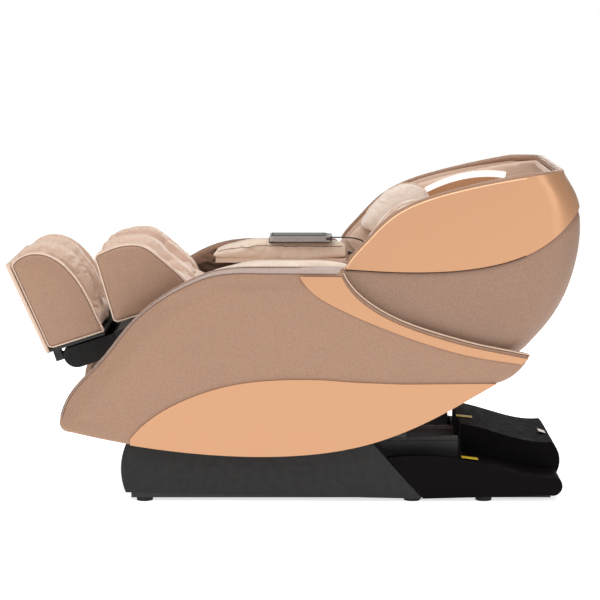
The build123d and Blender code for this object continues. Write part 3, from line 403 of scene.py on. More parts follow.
def painted_metal(name, rgb):
    s = Shader(name, rgb, 0.45, 0.0)
    s.vary(s.noise(30.0, 4.0), 0.15)
    s.rough(s.noise(80.0, 4.0), 0.38, 0.55)
    s.bump(s.noise(700.0, 3.0), 0.00008, 0.5)
    return s.material


def spacer_mesh(name, rgb):
    s = Shader(name, rgb, 0.8)
    s.set("Sheen Weight", 0.35)
    s.vary(s.cells(420.0, "F1"), 0.16)
    s.vary(s.noise(9.0, 3.0), 0.06)
    s.bump(s.cells(420.0, "F1"), 0.0006, 0.7)
    return s.material


def thread(name, rgb):
    s = Shader(name, rgb, 0.7)
    s.set("Sheen Weight", 0.3)
    s.vary(s.noise(1500.0, 2.0), 0.12)
    s.bump(s.noise(2500.0, 2.0), 0.0001, 0.4)
    return s.material


def plywood(name, rgb):
    s = Shader(name, rgb, 0.6)
    s.vary(s.noise(30.0, 5.0, 0.6, (1, 0.08, 8)), 0.25)
    s.bump(s.noise(60.0, 4.0, 0.6, (1, 0.08, 8)), 0.0002, 0.4)
    return s.material


def diffuser(name, rgb):
    s = Shader(name, rgb, 0.35)
    s.set("Emission Color", linear((255, 248, 240)))
    s.set("Emission Strength", 0.55)
    s.set("Subsurface Weight", 0.2)
    s.rough(s.noise(200.0, 2.0), 0.3, 0.42)
    return s.material


def dark_glass(name, rgb):
    s = Shader(name, rgb, 0.12)
    s.set("Coat Weight", 0.6)
    s.set("Coat Roughness", 0.05)
    s.rough(s.noise(30.0, 3.0), 0.08, 0.16)
    return s.material


BROWN = leather("brown_leather", (157, 123, 101), roughness=0.42, sheen=0.1, metallic=0.1)
BROWN_POD = leather("brown_leather_pod", (146, 115, 96), roughness=0.46, sheen=0.05)
STRIP = leather("strip_leather", (173, 153, 144), roughness=0.4, sheen=0.1)
CREAM = leather("cream_leather", (216, 188, 168), roughness=0.48, sheen=0.2, drift=0.05)
PAD = leather("pad_leather", (228, 207, 188), roughness=0.48, sheen=0.2, drift=0.04)
TROUGH = leather("trough_leather", (205, 172, 152), roughness=0.52, sheen=0.2, drift=0.06)
PIPING = leather("piping", (214, 186, 164), grain=1600, depth=0.0001, roughness=0.45, drift=0.05)
# dark piping for the seams, also used as a line of painted shade beside the pod's seam piping
PIPING_DARK_AND_SHADE = leather("piping_brown_and_shade", (120, 92, 78), grain=1600, depth=0.0001, roughness=0.5, drift=0.05)
GOLD = gold_paint("satin_gold", (199, 149, 111))
BLACK = moulded("black_moulding", (21, 20, 20), roughness=0.6)
BLACK_DECK = moulded("black_deck", (14, 12, 12), roughness=0.75, shine=0.05)
GLOSS = moulded("black_gloss", (14, 14, 15), roughness=0.2, texture=0.00002)
GREY = moulded("grey_moulding", (70, 70, 72))
WHITE = moulded("white_moulding", (238, 236, 232), roughness=0.28, texture=0.00002)
KEYS = moulded("key_grey", (120, 120, 124), roughness=0.45, texture=0.00003)
# painted highlight: a pale gold line that stands in for the light caught along the pod panels' upper
# edge
GOLD_HIGHLIGHT_LINE = gold_paint("painted_highlight_gold", (242, 206, 170))
# painted shade: a dark line laid in the groove between the gold panel and the brown pod side
JOINT_SHADE = moulded("joint_shadow", (58, 38, 26), roughness=0.8)
SILVER = metal("silver_shell", (206, 206, 208), 0.38, 500.0)
GLASS = dark_glass("screen_glass", (22, 22, 25))
RUBBER = moulded("rubber", (26, 25, 25), roughness=0.8, texture=0.0002, scale=500.0)
JACKET = moulded("cord_jacket", (22, 21, 21), roughness=0.45, texture=0.00004)
STEEL = metal("bright_steel", (176, 176, 178), 0.25)
PAINTED = painted_metal("black_steel", (24, 23, 23))
GREY_STEEL = painted_metal("grey_steel", (96, 96, 98))
PLY = plywood("plywood", (190, 158, 112))
LIGHT = diffuser("light_diffuser", (250, 248, 244))
MESH = spacer_mesh("cream_mesh", (230, 212, 198))
THREAD = thread("cream_thread", (240, 220, 200))
THREAD_DARK = thread("brown_thread", (92, 70, 58))
YELLOW = moulded("yellow_patch", (226, 196, 40), roughness=0.5)

CARRIED = {
    "base_frame": PAINTED, "slide_rails": PAINTED, "skid_covers": BLACK, "tail_cover": BLACK_DECK,
    "rubber_feet": RUBBER, "power_box": GREY_STEEL, "mains_inlet": GLOSS, "slide_actuator": GREY,
    "transport_wheels": RUBBER, "wheel_axle": STEEL, "power_switch": GLOSS, "carriage_frame": PAINTED,
    "glide_shoes": GREY, "slide_rod": GREY_STEEL, "seat_frame": PAINTED, "seat_pan": PLY,
    "arm_liners": CREAM, "arm_belly_panels": GOLD, "arm_sashes": GOLD, "push_actuators": GREY,
    "recline_rod": STEEL, "tilt_rod": STEEL, "air_pump": GREY, "leg_gearmotor": GREY,
    "remote_cradle": GREY, "remote_body": SILVER, "remote_screen": GLASS, "power_key": KEYS,
    "pause_key": KEYS, "recline_key": KEYS, "cord_gland": JACKET, "back_frame": PAINTED,
    "track_rails": STEEL, "back_sides": BROWN, "back_panels": GOLD, "rear_shell": BROWN,
    "light_arcs": LIGHT, "speakers": GOLD, "massage_carriage": GREY_STEEL, "massage_rollers": GREY,
    "leg_frame": PAINTED, "leg_rail_cover": BLACK, "foot_frame": PAINTED, "foot_rollers": RUBBER,
}


# ------------------------------------------------------------------ carried-over CAD nodes
def soften(node, width, segments=3):
    """Rounds a CAD node's edges with modifiers only."""
    piece = NODES[node]
    flat = piece.modifiers.new("flats", "DECIMATE")
    flat.decimate_type = "DISSOLVE"
    flat.angle_limit = radians(0.8)
    bevel = piece.modifiers.new("edges", "BEVEL")
    bevel.width = width
    bevel.segments = segments
    bevel.limit_method = "ANGLE"
    bevel.angle_limit = radians(32)
    bevel.harden_normals = False
    weight = piece.modifiers.new("normals", "WEIGHTED_NORMAL")
    weight.keep_sharp = True


def dress_nodes():
    """Materials for the carried-over nodes, and rounded edges where they show."""
    for node, material in CARRIED.items():
        piece = NODES[node]
        piece.data.materials.clear()
        piece.data.materials.append(material)
    for node in ("arm_belly_panels", "arm_sashes", "back_panels"):
        soften(node, 0.0042, 4)
    for node in ("skid_covers", "tail_cover"):
        soften(node, 0.004)
    for node in ("remote_body", "remote_cradle", "power_box", "leg_rail_cover"):
        soften(node, 0.002)
    soften("rear_shell", 0.003)
    for node in ("light_arcs", "speakers", "remote_screen", "foot_frame", "mains_inlet", "rubber_feet"):
        soften(node, 0.001, 2)


# ------------------------------------------------------------------ stuffed pieces
STUFFED = []


def shrunk(part, amount):
    """Moves a solid's faces inwards, which leaves room for the filling."""
    part.normal_update()
    moved = [(v, v.co - v.normal * amount) for v in part.verts]
    for vert, place in moved:
        vert.co = place


def from_part(name, part):
    """An object made from one CAD solid."""
    mesh = bpy.data.meshes.new(name)
    part.to_mesh(mesh)
    part.free()
    return put(name, mesh)


def add_remesh(piece, voxel):
    remesh = piece.modifiers.new("remesh", "REMESH")
    remesh.mode = "VOXEL"
    remesh.voxel_size = voxel


def add_smooth(piece, rounds):
    even = piece.modifiers.new("even", "SMOOTH")
    even.factor = 0.5
    even.iterations = rounds


def stuffed(name, part, material, body, voxel=0.006, shrink=0.003, pressure=4.0, cap=0.009, rounds=12):
    """A padded piece made from one CAD solid: remeshed, rounded, and queued for the cloth run."""
    shrunk(part, shrink)
    piece = from_part(name, part)
    add_remesh(piece, voxel)
    add_smooth(piece, rounds)
    bake(piece)
    piece.data.materials.append(material)
    STUFFED.append({"piece": piece, "pressure": pressure, "cap": cap, "body": body})
    return piece


def bake(piece):
    """Replaces a piece's mesh by what its modifiers make."""
    graph = bpy.context.evaluated_depsgraph_get()
    made = bpy.data.meshes.new_from_object(piece.evaluated_get(graph))
    piece.modifiers.clear()
    old = piece.data
    piece.data = made
    bpy.data.meshes.remove(old)
    piece.data.shade_smooth()


def inflate_all(frames=20):
    """One cloth run for every stuffed piece, each held near where it started."""
    before = {}
    for job in STUFFED:
        piece = job["piece"]
        before[piece.name] = [v.co.copy() for v in piece.data.vertices]
        cloth = piece.modifiers.new("cloth", "CLOTH")
        settings = cloth.settings
        settings.quality = 4
        settings.mass = 0.3
        settings.use_pressure = True
        settings.uniform_pressure_force = job["pressure"]
        settings.tension_stiffness = 15
        settings.compression_stiffness = 8
        settings.bending_stiffness = 0.4
        settings.effector_weights.gravity = 0
        cloth.collision_settings.use_collision = False
        cloth.point_cache.frame_start = 1
        cloth.point_cache.frame_end = frames
    scene = bpy.context.scene
    for number in range(1, frames + 1):
        scene.frame_set(number)
    for job in STUFFED:
        piece = job["piece"]
        bake(piece)
        for vert, start in zip(piece.data.vertices, before[piece.name]):
            move = vert.co - start
            if move.length > job["cap"]:
                vert.co = start + move.normalized() * job["cap"]
    scene.frame_set(1)


def surface(piece):
    """Every vertex with its place and normal, taken before any of them moves."""
    return [(v, v.co.copy(), v.normal.copy()) for v in piece.data.vertices]


def wrinkle(piece, depth, scale, where=None, stretch=(1, 1, 1), seed=0.0):
    """Shallow folds: points move along their normals by a ridged noise."""
    offset = Vector((seed, seed * 1.7, seed * 0.6))
    for vert, at, normal in surface(piece):
        weight = 1.0 if where is None else where(at, normal)
        if weight <= 0:
            continue
        spot = Vector((at.x * stretch[0], at.y * stretch[1], at.z * stretch[2])) * scale + offset
        ridge = 1 - abs(noise.noise(spot)) * 2.2
        fold = 0.25 * noise.noise(spot * 0.4) - max(0.0, ridge) ** 3
        vert.co = at + normal * depth * weight * fold


def crown(piece, rise, half_share=0.5):
    """Raises the middle of a long piece's upper side, so that it looks well filled."""
    xs = [v.co.x for v in piece.data.vertices]
    middle, half = (min(xs) + max(xs)) / 2, (max(xs) - min(xs)) / 2
    for vert, at, normal in surface(piece):
        up = max(0.0, normal.z * 0.8 + abs(normal.y) * 0.5)
        across = 1 - ((at.x - middle) / half) ** 2
        vert.co = at + normal * rise * max(0.0, across) ** half_share * min(1.0, up)


def on_pad_side(at, normal):
    """Folds gather on the upright sides of a pad, not on its top."""
    return smoothstep(abs(normal.x), 0.3, 0.9)


def fold_leather(soft):
    """Shallow folds in the shoulder pads, arm pads and leg cushions."""
    for index, piece in enumerate(soft["shoulder_pads"]):
        wrinkle(piece, 0.0035, 20.0, seed=3.0 + index)
    for index, node in enumerate(("arm_pad_left", "arm_pad_right")):
        wrinkle(soft[node][0], 0.004, 16.0, on_pad_side, (1.0, 1.0, 0.35), seed=6.0 + index)
    for index, node in enumerate(("calf_cushion", "foot_cushion")):
        for piece in soft[node]:
            wrinkle(piece, 0.003, 14.0, seed=11.0 + index)


def trough_faces(soft):
    """The pink lining inside the calf and boot channels."""
    for node in ("calf_cushion", "foot_cushion"):
        for piece in soft[node]:
            mesh = piece.data
            xs = [v.co.x for v in mesh.vertices]
            middle = (min(xs) + max(xs)) / 2
            mesh.materials.append(TROUGH)
            if abs(middle) < 0.01:
                continue
            side = 1 if middle > 0 else -1
            wall = max(abs(min(xs)), abs(max(xs))) > 0.2
            for face in mesh.polygons:
                if not wall or face.normal.x * side < -0.5:
                    face.material_index = 1


def finish_stuffed(levels=1):
    for job in STUFFED:
        piece = job["piece"]
        smooth = piece.modifiers.new("smooth", "SUBSURF")
        smooth.levels = levels
        smooth.render_levels = levels
        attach(piece, job["body"])


# ------------------------------------------------------------------ upholstered side shells
def smoothstep(value, low=0.0, high=1.0):
    t = min(1.0, max(0.0, (value - low) / (high - low)))
    return t * t * (3 - 2 * t)


def round_drop(depth, radius):
    """How far a rounded edge falls back at a distance depth from the outline."""
    if depth >= radius:
        return 0.0
    run = 1 - depth / radius
    return radius * (1 - (1 - run * run) ** 0.5)


def board(name, loop, x_in, x_out, drop, voxel=BOARD_VOXEL):
    """A slab over the outline loop, whose outer face falls back by drop(y, z, depth)."""
    ring = counter_clockwise([tuple(q) for q in resample(loop, 0.004)])
    n = len(ring)
    out = 1 if x_out > x_in else -1
    verts = [(x_in, y, z) for y, z in ring] + [(x_out, y, z) for y, z in ring]
    faces = [tuple(range(n)), tuple(range(2 * n - 1, n - 1, -1))]
    faces += [(i, (i + 1) % n, n + (i + 1) % n, n + i) for i in range(n)]
    piece = new_mesh(name, verts, faces)
    fix_normals(piece)
    add_remesh(piece, voxel)
    bake(piece)
    fine = resample(ring, 0.002)
    edge = kdtree.KDTree(len(fine))
    for index, q in enumerate(fine):
        edge.insert((0, q[0], q[1]), index)
    edge.balance()
    for vert in piece.data.vertices:
        if (vert.co.x - x_out) * out > -voxel * 0.7:
            depth = edge.find((0, vert.co.y, vert.co.z))[2]
            vert.co.x = x_out - out * drop(vert.co.y, vert.co.z, depth)
    add_smooth(piece, 3)
    bake(piece)
    return piece


def fix_normals(piece):
    build = bmesh.new()
    build.from_mesh(piece.data)
    bmesh.ops.recalc_face_normals(build, faces=build.faces)
    build.to_mesh(piece.data)
    build.free()
    piece.data.update()


STRIP_REAR = 0.021            # width of the pale strip along an arm's top, at its rear
STRIP_FRONT = 0.007
STRIP_SHARES = (0.02, 0.08, 0.16, 0.3, 0.45, 0.6, 0.8, 1.0)


def strip_width(y):
    return STRIP_FRONT + (STRIP_REAR - STRIP_FRONT) * smoothstep(y, -0.66, -0.20)


def on_brow(y, z):
    """1 along the top and nose of an arm, 0 along its belly and its seam."""
    return smoothstep(z, 0.24, 0.30) * smoothstep(0.02 - y, 0.0, 0.12)


def arm_drop(y, z, depth):
    """How an arm's face falls back: a tight round everywhere, and a soft one along the top and nose."""
    soft = 0.013 * (1 - smoothstep(depth, 0.0, 0.075)) * on_brow(y, z) * smoothstep(-y, -0.05, 0.25)
    return soft + round_drop(depth, 0.008)


def arm_shells():
    """The arms' brown side boards, each with its pale strip and seam."""
    for node, out in (("arm_shell_right", -1), ("arm_shell_left", 1)):
        part = islands(node)[0]
        low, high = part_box(node)
        loop = side_loop(part, out > 0)
        part.free()
        x_in, x_out = (low[0], high[0]) if out > 0 else (high[0], low[0])
        piece = board(f"upholstery_{node}", loop, x_in, x_out, arm_drop)
        give(piece, BROWN)
        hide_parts(node)
        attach(piece, "seat_body")
        brow_strip(node, piece, loop, x_in, x_out)


def grid_faces(rows, wide):
    """Quads over a grid of rows, with wide points in each."""
    corners = [k * wide + c for k in range(rows - 1) for c in range(wide - 1)]
    return [(at, at + 1, at + wide + 1, at + wide) for at in corners]


def brow_strip(node, piece, loop, x_in, x_out):
    """The pale strip over an arm's upper edge, and the seam along its lower side."""
    out = 1 if x_out > x_in else -1
    ring = [Vector(q) for q in resample(counter_clockwise(loop), TRIM_STEP)]
    inward = {(q.x, q.y): n for q, n in zip(ring, normals_in(ring))}
    points, rows = [], 0
    for _, y, z in edge_runs(ring, 0.0, lambda q: q.y > 0.27 and q.x < 0.0):
        n = inward[(y, z)]
        places = [(x_in + (x_out - x_in) * 0.06, 0.0)]
        for share in STRIP_SHARES:
            depth = strip_width(y) * share
            places.append((x_out - out * arm_drop(y, z, depth), depth))
        points += [(x, y + n.x * depth, z + n.y * depth) for x, depth in places]
        rows += 1
    wide = len(STRIP_SHARES) + 1
    verts = lay_on(piece, points, 0.0012)
    faces = grid_faces(rows, wide)
    if out < 0:
        faces = [face[::-1] for face in faces]
    strip = give(new_mesh(f"brow_strip_{node}", verts, faces), STRIP)
    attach(strip, "seat_body")
    line = tube(f"brow_seam_{node}", verts[wide - 1::wide], 0.0014, PIPING_DARK_AND_SHADE)
    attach(line, "seat_body")


def surface_tree(mesh):
    return BVHTree.FromPolygons([v.co for v in mesh.vertices], [p.vertices for p in mesh.polygons])


def lay_on(piece, points, lift):
    """The points moved to the nearest place on a piece's surface, and lifted off it."""
    tree = surface_tree(piece.data)
    placed = []
    for point in points:
        at, normal, _, _ = tree.find_nearest(Vector(point))
        placed.append(at + normal * lift)
    return placed


def pod_sides():
    """The pod's brown sides, padded below the coloured panel's lower edge."""
    gold = surface_tree(NODES["back_panels"].data)
    rear = surface_tree(NODES["rear_shell"].data)
    for index, part in enumerate(islands("back_sides")):
        piece = from_part(f"pod_side_{index}", part)
        add_remesh(piece, BOARD_VOXEL)
        bake(piece)
        out = 1 if index else -1
        for vert, at, normal in surface(piece):
            if normal.x * out < 0.25:
                continue
            near_gold = gold.find_nearest(at)[3]
            near_rear = rear.find_nearest(at)[3]
            rise = 0.0052 * smoothstep(near_gold, 0.0022, 0.016) * smoothstep(near_rear, 0.0, 0.05)
            vert.co = at + normal * rise
        add_smooth(piece, 2)
        bake(piece)
        give(piece, BROWN_POD)
        piece.data.materials.append(CREAM)
        for face in piece.data.polygons:
            if face.normal.x * out < -0.3:
                face.material_index = 1
        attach(piece, "backrest")
    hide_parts("back_sides")


SEAT_REAR_TOP = 0.560         # top of the seat cushion's rear end, less its rounding
WELT_ROUND = 0.006
BOARD_PROUD = 0.0035          # a leg board past its welt
LEG_ORIGIN = Vector((0, -0.4, 0.56))
LEG_TILT = radians(18)


def on_leg(x, s, n):
    """A point given on the leg rest: s along it, n above it."""
    y = -s * cos(LEG_TILT) - n * sin(LEG_TILT)
    z = -s * sin(LEG_TILT) + n * cos(LEG_TILT)
    return LEG_ORIGIN + Vector((x, y, z))


def padded_drop(y, z, depth):
    """How a leg board's face falls back towards its edge."""
    return round_drop(depth, WELT_ROUND) * 0.8 + BOARD_PROUD * (1 - smoothstep(depth, 0, 0.05))


def leg_panels():
    """Brown boards inside a cream welt on both sides of the calf and foot units."""
    for node, body in (("calf_panels", "legrest"), ("foot_panels", "foot_unit")):
        for index, part in enumerate(islands(node)):
            out = 1 if index else -1
            loop = outline_of(part, out)
            xs = [v.co.x for v in part.verts]
            part.free()
            x_in, x_out = (min(xs), max(xs)) if out > 0 else (max(xs), min(xs))
            welt = board(
                f"{node}_welt_{index}", loop, x_in - out * 0.006, x_out - out * 0.003,
                lambda y, z, depth: round_drop(depth, WELT_ROUND), LEG_VOXEL,
            )
            give(welt, CREAM)
            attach(welt, body)
            inner = inset_loop(loop, 0.0075)
            face = board(
                f"{node}_board_{index}", inner, x_in, x_out + out * BOARD_PROUD, padded_drop, LEG_VOXEL,
            )
            give(face, BROWN)
            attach(face, body)
            seam = [(x_out - out * 0.0030, q.x, q.y) for q in inset_loop(loop, 0.0068)]
            line = tube(f"{node}_seam_{index}", seam, 0.0011, PIPING_DARK_AND_SHADE, closed=True)
            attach(line, body)
            border = [(x_out - out * 0.0022, q.x, q.y) for q in inset_loop(loop, 0.0035)]
            row = stitches(f"{node}_stitches_{index}", border, THREAD, closed=True)
            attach(row, body)
        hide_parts(node)


def flap(name, start, end, half, sag):
    """A soft leather flap that closes the gap between the seat and a moving cushion, sagging by sag."""
    start, end = Vector(start), Vector(end)
    along = end - start
    up = Vector((0, -along.z, along.y)).normalized()
    up = up if up.z > 0 else -up
    rows, columns, thick = 24, 40, 0.004
    verts, faces = [], []
    for lift in (0.0, thick):
        for r in range(rows + 1):
            t = r / rows
            for c in range(columns + 1):
                u = c / columns * 2 - 1
                fold = 0.0016 * sin(9 * u + 3 * t) * sin(pi * t)
                spot = start + along * t + up * (lift + fold - sag * sin(pi * t))
                verts.append((u * half, spot.y, spot.z))
    wide, layer = columns + 1, (rows + 1) * (columns + 1)
    for face in grid_faces(rows + 1, wide):
        faces.append(face[::-1])
        faces.append(tuple(layer + at for at in face))
    rim = list(range(wide)) + [r * wide + columns for r in range(1, rows + 1)]
    rim += [rows * wide + c for c in range(columns - 1, -1, -1)]
    rim += [r * wide for r in range(rows - 1, 0, -1)]
    for a, b in zip(rim, rim[1:] + rim[:1]):
        faces.append((a, b, layer + b, layer + a))
    piece = give(new_mesh(name, verts, faces), CREAM)
    fix_normals(piece)
    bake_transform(piece)


def gap_flaps():
    """The flaps over the gaps at the knee and the hip."""
    seat_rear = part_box("seat_cushion")[1][1]
    back_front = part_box("back_cushion")[0][1]
    flap("knee_flap", (0, -0.350, 0.572), on_leg(0, 0.050, 0.110), 0.196, -0.008)
    hip_start = (0, seat_rear - 0.016, SEAT_REAR_TOP)
    hip_end = (0, back_front + 0.035, 0.603)
    flap("hip_flap", hip_start, hip_end, 0.19, 0.008)


def sole_cover():
    """Cream leather round the boots' sole board."""
    corners = ((0.503, 0.042), (0.5145, 0.042), (0.5465, 0.342), (0.535, 0.342))
    verts = [on_leg(x, s, n) for x in (-0.2615, 0.2615) for s, n in corners]
    faces = [(0, 1, 2, 3), (7, 6, 5, 4), (0, 4, 5, 1), (1, 5, 6, 2), (2, 6, 7, 3), (3, 7, 4, 0)]
    piece = new_mesh("sole_cover", verts, faces)
    fix_normals(piece)
    add_remesh(piece, LEG_VOXEL)
    add_smooth(piece, 4)
    bake(piece)
    give(piece, CREAM)
    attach(piece, "foot_unit")


def cushions():
    """Every soft CAD solid, as its own stuffed piece."""
    plan = (
        ("seat_cushion", CREAM, "seat_body", 0.008, 0.006, 0.014),
        ("back_cushion", MESH, "backrest", 0.009, 0.006, 0.014),
        ("arm_pad_left", PAD, "seat_body", 0.006, 0.004, 0.010),
        ("arm_pad_right", PAD, "seat_body", 0.006, 0.004, 0.010),
        ("seat_bolsters", CREAM, "seat_body", 0.007, 0.003, 0.008),
        ("shoulder_pads", MESH, "backrest", 0.006, 0.004, 0.010),
        ("head_pillow", MESH, "pillow", 0.006, 0.004, 0.012),
        ("calf_cushion", CREAM, "legrest", 0.006, 0.004, 0.010),
        ("foot_cushion", CREAM, "foot_unit", 0.006, 0.004, 0.010),
    )
    made = {}
    for node, material, body, voxel, shrink, cap in plan:
        pieces = []
        for index, part in enumerate(islands(node)):
            piece = stuffed(f"soft_{node}_{index}", part, material, body, voxel, shrink, 4.0, cap)
            pieces.append(piece)
        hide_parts(node)
        made[node] = pieces
    part = islands("hood_liner")[0]
    liner = stuffed("soft_hood_liner", part, CREAM, "backrest", 0.007, 0.001, 1.0, 0.003, 6)
    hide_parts("hood_liner")
    made["hood_liner"] = [liner]
    return made


# ------------------------------------------------------------------ the remote's lead
LEAD_DIAMETER = 0.0045


def remote_lead():
    """The lead from the remote's rear end down to the gland, with part.py's route in metres."""
    low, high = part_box("remote_body")
    gland_low, gland_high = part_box("cord_gland")
    x = (low[0] + high[0]) / 2
    exit_z = (low[2] + high[2]) / 2
    gland_z = (gland_low[2] + gland_high[2]) / 2
    route = [
        (x, high[1], exit_z),
        (x, 0.010, exit_z),
        (x, 0.056, exit_z - 0.002),
        (x + 0.002, 0.088, exit_z - 0.016),
        (x + 0.002, 0.088, gland_z + 0.016),
        (x, 0.070, gland_z),
        (x, gland_high[1], gland_z),
    ]
    data = bpy.data.curves.new("lead_line", "CURVE")
    data.dimensions = "3D"
    data.resolution_u = 16
    line = data.splines.new("NURBS")
    line.points.add(len(route) - 1)
    for point, at in zip(line.points, route):
        point.co = (*at, 1)
    line.order_u = 3
    line.use_endpoint_u = True
    curve = put("lead_line", data)
    graph = bpy.context.evaluated_depsgraph_get()
    bare = bpy.data.meshes.new_from_object(curve.evaluated_get(graph))
    data.bevel_depth = LEAD_DIAMETER / 2
    data.bevel_resolution = 3
    graph = bpy.context.evaluated_depsgraph_get()
    made = bpy.data.meshes.new_from_object(curve.evaluated_get(graph))
    bpy.data.objects.remove(curve)
    lead = put("lead", made)
    made.materials.clear()
    made.materials.append(JACKET)
    made.shade_smooth()
    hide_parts("remote_cord")
    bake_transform(lead)


# ------------------------------------------------------------------ trim
def edge_runs(loop, x, keep):
    """The longest run of the loop whose points keep says yes to, as 3-D points at x."""
    n = len(loop)
    flags = [keep(p) for p in loop]
    if all(flags):
        return [(x, p.x, p.y) for p in loop]
    best, start = [], flags.index(False)
    run = []
    for i in range(n + 1):
        at = (start + i) % n
        if flags[at] and i < n:
            run.append(loop[at])
        else:
            if len(run) > len(best):
                best = run
            run = []
    return [(x, p.x, p.y) for p in best]


SEAM_LOW = 0.452              # lower end of the seam that the piping follows
# the first row is pale piping, the second row is painted shade: a dark line for the shadow in the step
# behind the arm shell
SEAM_ROWS = ((0.0015, 0.0019, PIPING), (0.0048, 0.0013, PIPING_DARK_AND_SHADE))


def seam_piping_and_shade():
    """A pale piping, and a dark line of painted shade where the back pod's sides drop behind the arm
    shells.
    """
    for node, out in (("arm_shell_left", 1), ("arm_shell_right", -1)):
        part = islands(node)[0]
        low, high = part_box(node)
        x_out = high[0] if out > 0 else low[0]
        loop = outline_of(part, out)
        for index, (depth, radius, material) in enumerate(SEAM_ROWS):
            ring = inset_loop(loop, depth)
            points = edge_runs(ring, x_out + out * 0.0004, lambda p: p.x > 0.0 and p.y > SEAM_LOW)
            cord = tube(f"seam_piping_and_shade_{node}_{index}", points, radius, material)
            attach(cord, "seat_body")
        part.free()


def panel_edges():
    """A painted highlight along each coloured pod panel's upper edge, as a pale line, and painted shade
    along its lower edge, as a dark line in the joint.
    """
    for index, part in enumerate(islands("back_panels")):
        out = 1 if index else -1
        loop = outline_of(part, out)
        x = max(abs(v.co.x) for v in part.verts) * out
        tree = BVHTree.FromBMesh(part)
        inward = normals_in(loop)
        rows = (
            # the pale row is a painted highlight, the dark row is painted shade in the joint
            ("edge_painted_highlight", [q + n * 0.0035 for q, n in zip(loop, inward)], GOLD_HIGHLIGHT_LINE, 0.0016, -1),
            ("edge_joint_shade", [q - n * 0.0006 for q, n in zip(loop, inward)], JOINT_SHADE, 0.0015, 1),
        )
        for name, line, material, radius, side in rows:
            keep = [side * n.y > 0.25 and q.x < 0.55 for q, n in zip(line, inward)]
            inside = {(q.x, q.y): k for q, k in zip(line, keep)}
            run = edge_runs(line, x, lambda q: inside[(q.x, q.y)])
            run = [tuple(tree.find_nearest(Vector(p))[0]) for p in run]
            piece = tube(f"{name}_{index}", run, radius, material)
            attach(piece, "backrest")
        part.free()


RIM_HALF = 0.353              # the roll's middle line: half width, rear end, top and corner radius
RIM_REAR = 0.6605
RIM_TOP = 1.001
RIM_CORNER = 0.094


def on_rim(q):
    """Whether a point of the pod's outline belongs to its rim."""
    return q.y > 0.728 and q.y > 0.6 + 0.6 * q.x and q.x < 0.572


def rim_roll():
    """The brown roll round the pod's rim: up one wing, round the rear corners and down the other."""
    runs = {}
    for index, part in enumerate(islands("back_sides")):
        out = 1 if index else -1
        flat = outline_of(part, out)
        points = edge_runs(flat, out * RIM_HALF, on_rim)
        points.sort(key=lambda q: q[1])
        runs[out] = points
        part.free()
    path = list(runs[1])
    low = path[-1][2]
    for step in range(1, 10):
        turn = step * pi / 18
        x = RIM_HALF - RIM_CORNER * (1 - cos(turn))
        y = RIM_REAR - RIM_CORNER * (1 - sin(turn))
        path.append((x, y, low + (RIM_TOP - low) * step / 9))
    straight = RIM_HALF - RIM_CORNER
    path += [(straight * (1 - k / 6), RIM_REAR, RIM_TOP) for k in range(1, 12)]
    path += [(-x, y, z) for x, y, z in reversed(path[: len(runs[1]) + 9])]
    piece = tube("rim_roll", path, 0.0064, BROWN, sides=5)
    for point in piece.data.splines[0].points:
        point.radius = 1.0 + 0.75 * smoothstep(point.co.y, 0.30, 0.62)
    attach(piece, "backrest")


def pad_piping(soft):
    """Two rows of pale piping round each shoulder pad, laid on its surface."""
    for index, part in enumerate(islands("shoulder_pads")):
        out = 1 if index else -1
        pad = soft["shoulder_pads"][index]
        loop = outline_of(part, out)
        xs = [abs(v.co.x) for v in part.verts]
        part.free()
        high = max(xs)
        for row, inward in enumerate((0.010, 0.024)):
            points = [(out * (high - inward), q.x, q.y) for q in loop]
            placed = lay_on(pad, points, 0.0008)
            line = tube(f"pad_piping_{index}_{row}", placed, 0.0022, PIPING, closed=True)
            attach(line, "backrest")


PAD_SEAM_Z = 0.716


def arm_pad_seams(soft):
    """A sewn seam along the upper side of each arm pad."""
    for node in ("arm_pad_left", "arm_pad_right"):
        pad = soft[node][0]
        low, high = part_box(node)
        for side, x in enumerate((low[0], high[0])):
            start, run = low[1] + 0.012, high[1] - low[1] - 0.03
            points = [(x, start + run * k / 80, PAD_SEAM_Z) for k in range(81)]
            placed = lay_on(pad, points, 0.0003)
            line = tube(f"{node}_seam_{side}", placed, 0.0009, THREAD_DARK)
            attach(line, "seat_body")


SIDES = 24                    # points round the remote's collar
PROUD = 0.0006                # the remote's collar and face past its body


